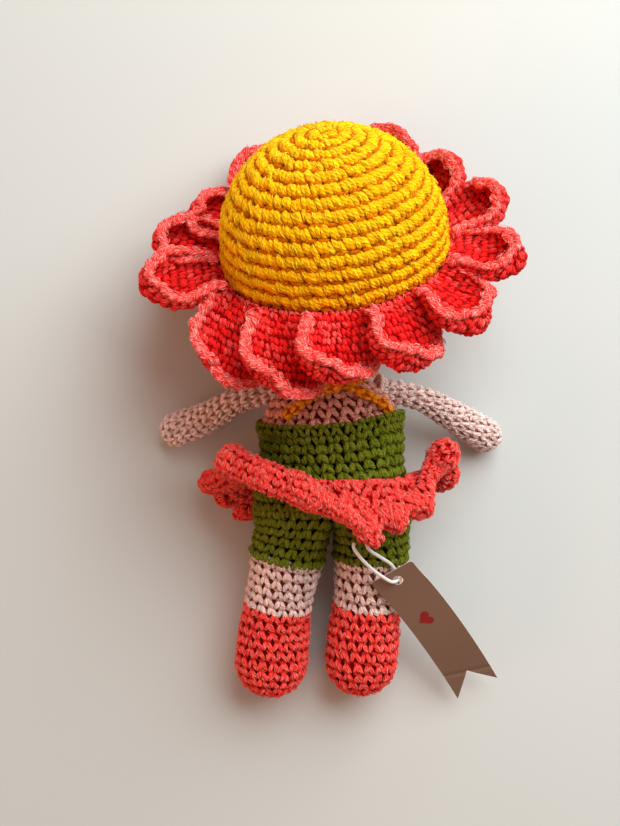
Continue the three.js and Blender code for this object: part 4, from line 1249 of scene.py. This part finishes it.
petal_yarn = yarn_look(
    "petal_yarn",
    (0.97, 0.018, 0.017),
    (0.36, 0.0, 0.001),
    (1.0, 0.60, 0.53),
    streaks=0.5,
    haze_share=0.3,
    sheen=0.04,
)
petal_ways = {
    "arch": 0.8,
    "sunk": 0.4,
    "slant": 0.35,
    "spread": 0.12,
    "apart": 0.17,
    "stray": 3.0,
    "loose": 0,
}
# How pale the rim's rope is: partly its loose fibres, partly painted highlight.
rim_pale_highlight = 0.95


def petal_paleness_and_highlight(seed):
    """The stitches of a petal's edge are pale, partly as painted highlight, and so are a few of the others;
    the rest are kept deeper, as painted shade.
    """
    rng = np.random.default_rng(seed)

    def pale_at(row_share, turn):
        lane = np.where(turn < 0.5, 4 * turn - 1, 3 - 4 * turn)
        by_the_edge = np.maximum(gradual(np.abs(lane), 0.42, 0.9), gradual(row_share, 0.45, 0.95))
        flecks = 0.5 * (rng.uniform(0, 1, len(turn)) < 0.3)
        return np.maximum(0.42 * by_the_edge, flecks) - 0.2 * (1 - by_the_edge)

    return pale_at


lanes = np.linspace(-1, 1, petal_lanes)
lanes = np.sign(lanes) * (1 - (1 - np.abs(lanes)) ** 1.15)
ways = np.linspace(0, 1, petal_steps)
ways = 1 - (1 - ways) ** 1.5
for index, (lean, droop, roll, share, walls) in enumerate(petal_bends):
    lean, droop, roll = math.radians(lean), math.radians(droop), math.radians(roll)
    around = math.radians(first_petal - index * 360 / petal_count)
    length = petal_length * share
    x = ways[:, None] * length + 0 * lanes
    y = petal_outline(ways)[:, None] * lanes
    both = [petal_sheet(x, y, face * petal_thickness / 2, length, walls) for face in (1, -1)]
    grid = np.concatenate([both[0], both[1][:, ::-1]], 1)
    petal_fabric = Fabric(bent_petal(grid, lean, roll, droop, around))
    number = str(index + 1).zfill(2)
    rng = np.random.default_rng(170 + index)
    rounds = petal_fabric.rounds(petal_stitch_tall, petal_stitch_wide, least=6)
    pale_at = petal_paleness_and_highlight(270 + index)
    stitches = single_stitches(
        petal_fabric, rounds, petal_yarn_radius, 70 + index, pale_at=pale_at, **petal_ways
    )
    rim_line, near_line = (
        bent_petal(petal_sheet(*petal_rim(length, inward), 0, length, walls), lean, roll, droop, around)
        for inward in (0.6, 2.2)
    )
    rope = chain_rope(rim_line, unit(rim_line - near_line), rim_yarn, rim_stitch, rim_pale_highlight, rng)
    shape = off_the_table(join(backing(petal_fabric, 0.1), stitches, rope))
    petal = make_piece("petal_fabric_" + number, shape, petal_yarn)
    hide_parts("petal_" + number)
    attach(petal, "hat")

# The straps
# Two crocheted chains of orange yarn, sewn inside the romper's edge. They cross on the back and go round
# the neck, and lie on the body all along.
strap_radius = 1.7
strap_core = 1.25  # the radius of the line that its stitches are worked round
strap_clear = 0.3
strap_steps = 90
strap_sides = 16
strap_ways = {"yarn": 1.3, "under": 0.35, "drawn_in": 0, "arch": 0.5, "sunk": 0.35, "slant": 0}
# Each strap's places: the share of the body's length from the crotch, degrees round it from +X and how far
# its middle stands off the body, in radii
strap_routes = {
    "left": [
        (0.752, 128, 1.3),
        (0.8, 122, 1.3),
        (0.85, 113, 1.3),
        (0.895, 102, 1.6),
        (0.93, 84, 3.8),
        (0.975, 54, 2.8),
        (1.015, 25, 1.8),
        (1.02, 0, 1.7),
        (1.015, -25, 1.8),
        (0.975, -44, 1.9),
        (0.9, -52, 1.4),
        (0.8, -50, 1.3),
    ],
    "right": [
        (0.792, 38, 1.3),
        (0.835, 46, 1.3),
        (0.88, 57, 1.3),
        (0.925, 72, 1.3),
        (0.955, 98, 1.3),
        (0.985, 130, 1.6),
        (1.015, 158, 1.7),
        (1.02, 180, 1.7),
        (1.015, 205, 1.8),
        (0.975, 224, 1.9),
        (0.9, 232, 1.4),
        (0.8, 230, 1.3),
    ],
}
orange_yarn = yarn_look("orange_yarn", (1.0, 0.33, 0.003), (0.50, 0.07, 0.001), (1.0, 0.62, 0.12))
for name, seed in (("left", 91), ("right", 92)):
    route = [
        on_body(share * body_length, degrees, strap_clear + radii * strap_radius)
        for share, degrees, radii in strap_routes[name]
    ]
    line, directions = curve_through(route, strap_steps)
    across, up = carried_frames(directions)
    angle = full_turn(strap_sides)[:, None]
    rings = [
        middle + strap_core * (np.cos(angle) * side + np.sin(angle) * over)
        for middle, side, over in zip(line, across, up)
    ]
    chain_fabric = Fabric(rings)
    rounds = [(*edges[:2], 2) for edges in chain_fabric.rounds(3.4, 3.0)]
    strap = crochet(name + "_strap_chain", chain_fabric, rounds, orange_yarn, seed, **strap_ways)
    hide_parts(name + "_strap")
    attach(strap, "torso")

# The skirt
# A frill of coral stitches worked on to the romper's waist. Its hem curls up into a thick roll, and each of
# its fifteen petals ends in a ball.
skirt_thickness = 2.0
crotch_to_waist = 30
waist_clear = 0.8  # between the romper and the skirt's root
spokes_to_tip = 12
sheet_rows = 9
roll_rows = 16
roll_turns = (25, 245)  # degrees round the hem's roll, where its first row and its last row are
skirt_yarn = 1.2
ball_yarn = 1.1
stitch_gap = 3.9
skirt_stitch_wide = 4.6
stitch_bands = 14  # rounds of stitches on either side of the roll's crest
ball_rings = 14
ball_columns = 24
# Each petal: degrees round the waist from +X, the middle of its ball, how far down the hem runs between it
# and the next, as a share, then the radius of its ball and of the roll after it
skirt_tips = [
    (-12, 46.5, -12.4, 34, 0.86, 5.8, 3.6),
    (14, 45.2, -3.6, 42, 0.82, 5.8, 3.0),
    (40, 34.8, -24.0, 48, 0.84, 5.2, 3.0),
    (62, 23.8, -29.0, 55, 0.86, 5.4, 3.2),
    (80, 14.0, -34.5, 59, 0.94, 5.2, 4.4),
    (97, 3.0, -25.5, 61, 0.98, 5.4, 5.6),
    (115, -11.8, -17.6, 61.5, 0.98, 7.0, 5.8),
    (138, -27.5, -12.0, 57, 0.98, 5.8, 5.6),
    (164, -41.5, -5.8, 52, 0.7, 6.0, 3.4),
    (190, -51.5, -16.4, 18, 0.8, 4.4, 3.4),
    (213, -44.5, -22.5, 12, 0.8, 4.6, 3.6),
    (238, -36, -29.0, 8, 0.76, 5.0, 3.4),
    (268, -12, -32, 7, 0.78, 5.0, 3.2),
    (298, 13, -32, 7, 0.78, 5.0, 3.2),
    (326, 33, -28, 8, 0.78, 5.2, 3.4),
]

half = skirt_thickness / 2
waist_proud = waist_clear + half
bulb_points, root_degrees, swell = [], [], []
for index, (degrees, *tip, run_down, ball, roll) in enumerate(skirt_tips):
    next_degrees, *next_tip, _, _, _ = skirt_tips[(index + 1) % len(skirt_tips)]
    half_way = (degrees + next_degrees + (360 if next_degrees < degrees else 0)) / 2
    valley = (np.array(tip) + np.array(next_tip)) / 2
    root = on_body(crotch_to_waist, half_way, waist_proud)
    bulb_points += [np.array(tip, float), root + (valley - root) * run_down]
    root_degrees += [degrees, half_way]
    swell += [ball, roll]
spokes = len(skirt_tips) * spokes_to_tip
knots = np.array(bulb_points)
count = len(knots)
place = np.linspace(0, count, spokes, endpoint=False)
low = place.astype(int)
way = (place - low)[:, None]
bulb = between(*(knots[(low + shift) % count] for shift in (-1, 0, 1, 2)), way)
degrees_line = np.interp(place, np.arange(count + 1), [*root_degrees, root_degrees[0] + 360])
root_line = on_body(crotch_to_waist, degrees_line, waist_proud)
down = unit(bulb - root_line)
hem_way, root_way = (np.roll(line, -1, 0) - np.roll(line, 1, 0) for line in (bulb, root_line))
sideways = unit(hem_way + 2 * root_way)
front = unit(np.cross(down, sideways))
clear = unit(on_body(crotch_to_waist, degrees_line, body_half_depth) - root_line)
front *= np.sign(np.einsum("ij,ij->", front, clear))
swell = np.array(swell)
thick = (swell[low] + (swell[(low + 1) % count] - swell[low]) * gradual(way[:, 0], 0.1, 0.9))[:, None]
gathered = bulb - down * thick - front * thick * 0.6
rings = []
for share in np.linspace(0, 1, sheet_rows)[:-1]:
    rings.append(root_line + (gathered - root_line) * share + front * half)
for turn in np.radians(np.linspace(*roll_turns, roll_rows)):
    rings.append(bulb + thick * (front * math.sin(turn) - down * math.cos(turn)))
for share in np.linspace(1, 0, sheet_rows)[1:]:
    rings.append(root_line + (gathered - root_line) * share - front * half)
skirt_fabric = Fabric(rings)
steps = np.linalg.norm(np.diff(skirt_fabric.points, axis=0), axis=2)
down_run = np.vstack([np.zeros(spokes), np.cumsum(steps, axis=0)])
crest = sheet_rows + roll_rows // 2
knobs = []
for index, (*_, ball, roll) in enumerate(skirt_tips):
    spoke = index * spokes_to_tip
    there = (bulb[spoke], down[spoke], sideways[spoke], front[spoke])
    turns = np.linspace(0.12, 0.93 * math.pi, ball_rings)
    knob = Fabric(
        [on_axis(*there, ball * math.cos(turn), ball * math.sin(turn), ball_columns) for turn in turns]
    )
    drawn = Fabric(knob.points - 0.4 * knob.normals)
    knob_rounds = drawn.rounds(3.7, 3.7)
    tufts = single_stitches(drawn, knob_rounds, ball_yarn, 120 + index, stray=2.2, arch=0.8, sunk=0.5)
    knobs += [backing(knob, 0.9), tufts]
row_numbers = np.arange(skirt_fabric.rows)
spots = []
for way_out in (-1, 1):
    for band in range(stitch_bands):
        near, far = (
            np.clip(down_run[crest] + way_out * stitch_gap * (band + shift), -1, down_run[-1] + 1)
            for shift in (0, 1)
        )
        ends = [
            np.array([np.interp(run, down_run[:, column], row_numbers) for column, run in enumerate(row)])
            for row in (near, far)
        ]
        held = (near > 0) & (near < down_run[-1])
        ring, _ = skirt_fabric.at((ends[0] + ends[1]) / 2, np.arange(spokes) / spokes)
        lengths = np.linalg.norm(np.roll(ring, -1, 0) - ring, axis=1)
        round_run = np.concatenate([[0], np.cumsum(lengths)])
        number = round(round_run[-1] / stitch_gap)
        along = (np.arange(number) + 0.4 * band) / number * round_run[-1]
        at = np.interp(along, round_run, np.arange(spokes + 1))
        column = at.astype(int) % spokes
        keep = held[column]
        column, at = column[keep], at[keep]
        turn_wide = stitch_gap / np.maximum(lengths[column], 0.25) / spokes
        near_row, far_row = ends[0][column], ends[1][column]
        foot, top = (far_row, near_row) if way_out < 0 else (near_row, far_row)
        wide = np.full(len(at), skirt_stitch_wide)
        spots.append(np.stack([at / spokes, turn_wide, foot, top, wide, 0 * at], 1))
skirt_ways = {"arch": 0.8, "sunk": 0.7, "rise": (-0.1, 1.0), "stray": 2.2}
stitches = placed_stitches(skirt_fabric, np.vstack(spots), skirt_yarn, 101, **skirt_ways)
frill = make_piece("skirt_frill", off_the_table(backing(skirt_fabric, 0.8)), coral_yarn)
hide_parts("skirt")
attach(frill, "torso")
skirt = make_piece("skirt_stitches", off_the_table(join(stitches, *knobs)), coral_yarn)
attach(skirt, "torso")

# The tag
# A strip of brown kraft paper, cut with a swallowtail and punched for the string. One small red heart is
# printed on it.
tag_width = 19.5
tag_length = 72
tag_notch = 11  # the depth of its swallowtail
tag_thickness = 0.5
tag_hole = 2.2
tag_hole_inset = 5
tag_corner = np.array((15.6, -56.2, 38.2))
tag_across = unit(np.array((16.4, 9.7, 4.0)))
tag_along = np.array((38.8, -53.9, -30.0))
tag_along = unit(tag_along - tag_across * (tag_along @ tag_across))
tag_over = -np.cross(tag_across, tag_along)
tag_bow = 1.9  # how far both long edges bow sideways at the middle
tag_curl = 2.2  # how far the paper lifts at its middle
tag_corner_round = 1.6
tag_crease = 14  # from its tip to the crease across it
kraft = speckled("kraft_paper", (0.165, 0.088, 0.056), (0.255, 0.142, 0.094), 1500, 0.8, 5, (0.3, 0.7))
kraft_nodes, kraft_links = kraft.node_tree.nodes, kraft.node_tree.links
kraft_bump = kraft_nodes.new("ShaderNodeBump")
kraft_bump.inputs["Strength"].default_value = 0.2
kraft_bump.inputs["Distance"].default_value = 0.0001
kraft_links.new(kraft_nodes["specks"].outputs["Fac"], kraft_bump.inputs["Height"])
kraft_links.new(kraft_bump.outputs["Normal"], kraft_nodes["Principled BSDF"].inputs["Normal"])
pale_edge = speckled("cut_paper_edge", (0.52, 0.40, 0.30), (0.70, 0.58, 0.47), 1800, 0.85)


def on_tag(flat, lift):
    """Points of the flat tag, across and along it, put where the paper hangs, with its bow and its curl."""
    across, along = flat[:, 0], flat[:, 1]
    share = along / tag_length
    aside = across + tag_bow * np.sin(math.pi * share) * np.clip(share * 6, 0, 1)
    from_crease = along - (tag_length - tag_crease + 0.35 * across)
    raised = lift + tag_curl * np.sin(math.pi * share) ** 2 * share
    raised = raised - 0.5 * np.maximum(0, 1 - np.abs(from_crease) / 1.5)
    return tag_corner + aside[:, None] * tag_across + along[:, None] * tag_along + raised[:, None] * tag_over


def cut_paper(name, outline, hole, grid, lift, thickness, face_look, edge_look):
    """A piece of paper with a given outline, and a hole where one is given, bent as the tag is."""
    loops = [outline] + ([hole] if hole is not None else [])
    rim = np.vstack(loops)
    edges, first = [], 0
    for loop in loops:
        edges += [(first + k, first + (k + 1) % len(loop)) for k in range(len(loop))]
        first += len(loop)
    low, high = outline.min(0), outline.max(0)
    across, along = (np.arange(low[axis], high[axis], grid) for axis in (0, 1))
    inner = np.stack(np.meshgrid(across, along, indexing="ij"), -1).reshape(-1, 2)
    every = [Vector(point) for point in np.vstack([rim, inner + 0.37 * grid])]
    flat, _, faces, *_ = delaunay_2d_cdt(every, edges, [], 1, 1e-5)
    flat = np.array(flat)
    if hole is not None:
        centre, reach = hole.mean(0), np.linalg.norm(hole - hole.mean(0), axis=1).min()
        faces = [f for f in faces if np.linalg.norm(flat[list(f)].mean(0) - centre) > reach]
    count = len(flat)
    points = np.vstack([on_tag(flat, lift + thickness / 2), on_tag(flat, lift - thickness / 2)])
    made = [tuple(f) for f in faces] + [tuple(count + k for k in reversed(f)) for f in faces]
    used = dict.fromkeys((f[k], f[(k + 1) % 3]) for f in faces for k in range(3))
    border = [(a, b) for a, b in used if (b, a) not in used]
    made += [(b, a, count + a, count + b) for a, b in border]
    mesh = bpy.data.meshes.new(name)
    mesh.from_pydata([tuple(point) for point in points * metres], [], made)
    for polygon in mesh.polygons[len(made) - len(border) :]:
        polygon.material_index = 1
    mesh.materials.append(face_look)
    mesh.materials.append(edge_look)
    shaped = bmesh.new()
    shaped.from_mesh(mesh)
    bmesh.ops.delete(shaped, geom=[v for v in shaped.verts if not v.link_faces], context="VERTS")
    bmesh.ops.recalc_face_normals(shaped, faces=shaped.faces)
    shaped.to_mesh(mesh)
    shaped.free()
    made_piece = bpy.data.objects.new(name, mesh)
    bpy.context.scene.collection.objects.link(made_piece)
    return made_piece


def rounded(corners, radii):
    """An outline through the given corners, each rounded off to its own radius."""
    corners = np.array(corners, float)
    outline = []
    for k, radius in enumerate(radii):
        here, before, after = corners[k], corners[k - 1], corners[(k + 1) % len(corners)]
        start, end = here + radius * unit(before - here), here + radius * unit(after - here)
        for t in np.linspace(0, 1, 6):
            outline.append(start * (1 - t) ** 2 + 2 * here * t * (1 - t) + end * t**2)
    return np.array(outline)


def finely(outline, step):
    """The outline with points added along its long straight stretches."""
    fine = []
    for here, after in zip(outline, np.roll(outline, -1, 0)):
        count = max(1, round(np.linalg.norm(after - here) / step))
        fine += [here + (after - here) * k / count for k in range(count)]
    return np.array(fine)


tag_points = [
    (0, 0),
    (0, tag_length),
    (tag_width / 2, tag_length - tag_notch),
    (tag_width, tag_length),
    (tag_width, 0),
]
tag_outline = rounded(tag_points, [tag_corner_round, 0.3, 0.6, 0.3, tag_corner_round])
turn = full_turn(28)
punched = np.stack([tag_width / 2 + tag_hole * np.cos(turn), tag_hole_inset + tag_hole * np.sin(turn)], 1)
tag_rim = finely(tag_outline, 1.0)
tag_paper = cut_paper("tag_paper", tag_rim, punched, 1.0, 0.0, tag_thickness, kraft, pale_edge)
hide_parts("tag")
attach(tag_paper, "tag")

heart_place = (8.2, 27.4)
heart_size = 0.215
heart_turn = math.radians(-6)
ink_thick = 0.08
red_ink = speckled("red_ink", (0.20, 0.003, 0.004), (0.34, 0.008, 0.010), 1600, 0.6)
turn = full_turn(60)
heart_up = 13 * np.cos(turn) - 5 * np.cos(2 * turn) - 2 * np.cos(3 * turn) - np.cos(4 * turn)
heart_side = 16 * np.sin(turn) ** 3
heart_x = heart_size * (heart_up * math.cos(heart_turn) - heart_side * math.sin(heart_turn))
heart_y = heart_size * (heart_up * math.sin(heart_turn) + heart_side * math.cos(heart_turn))
heart_outline = np.stack([heart_place[0] + heart_x, heart_place[1] + heart_y], 1)
ink_lift = tag_thickness / 2 + 0.02
heart = cut_paper("tag_heart", heart_outline, None, 0.8, ink_lift, ink_thick, red_ink, red_ink)
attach(heart, "tag")
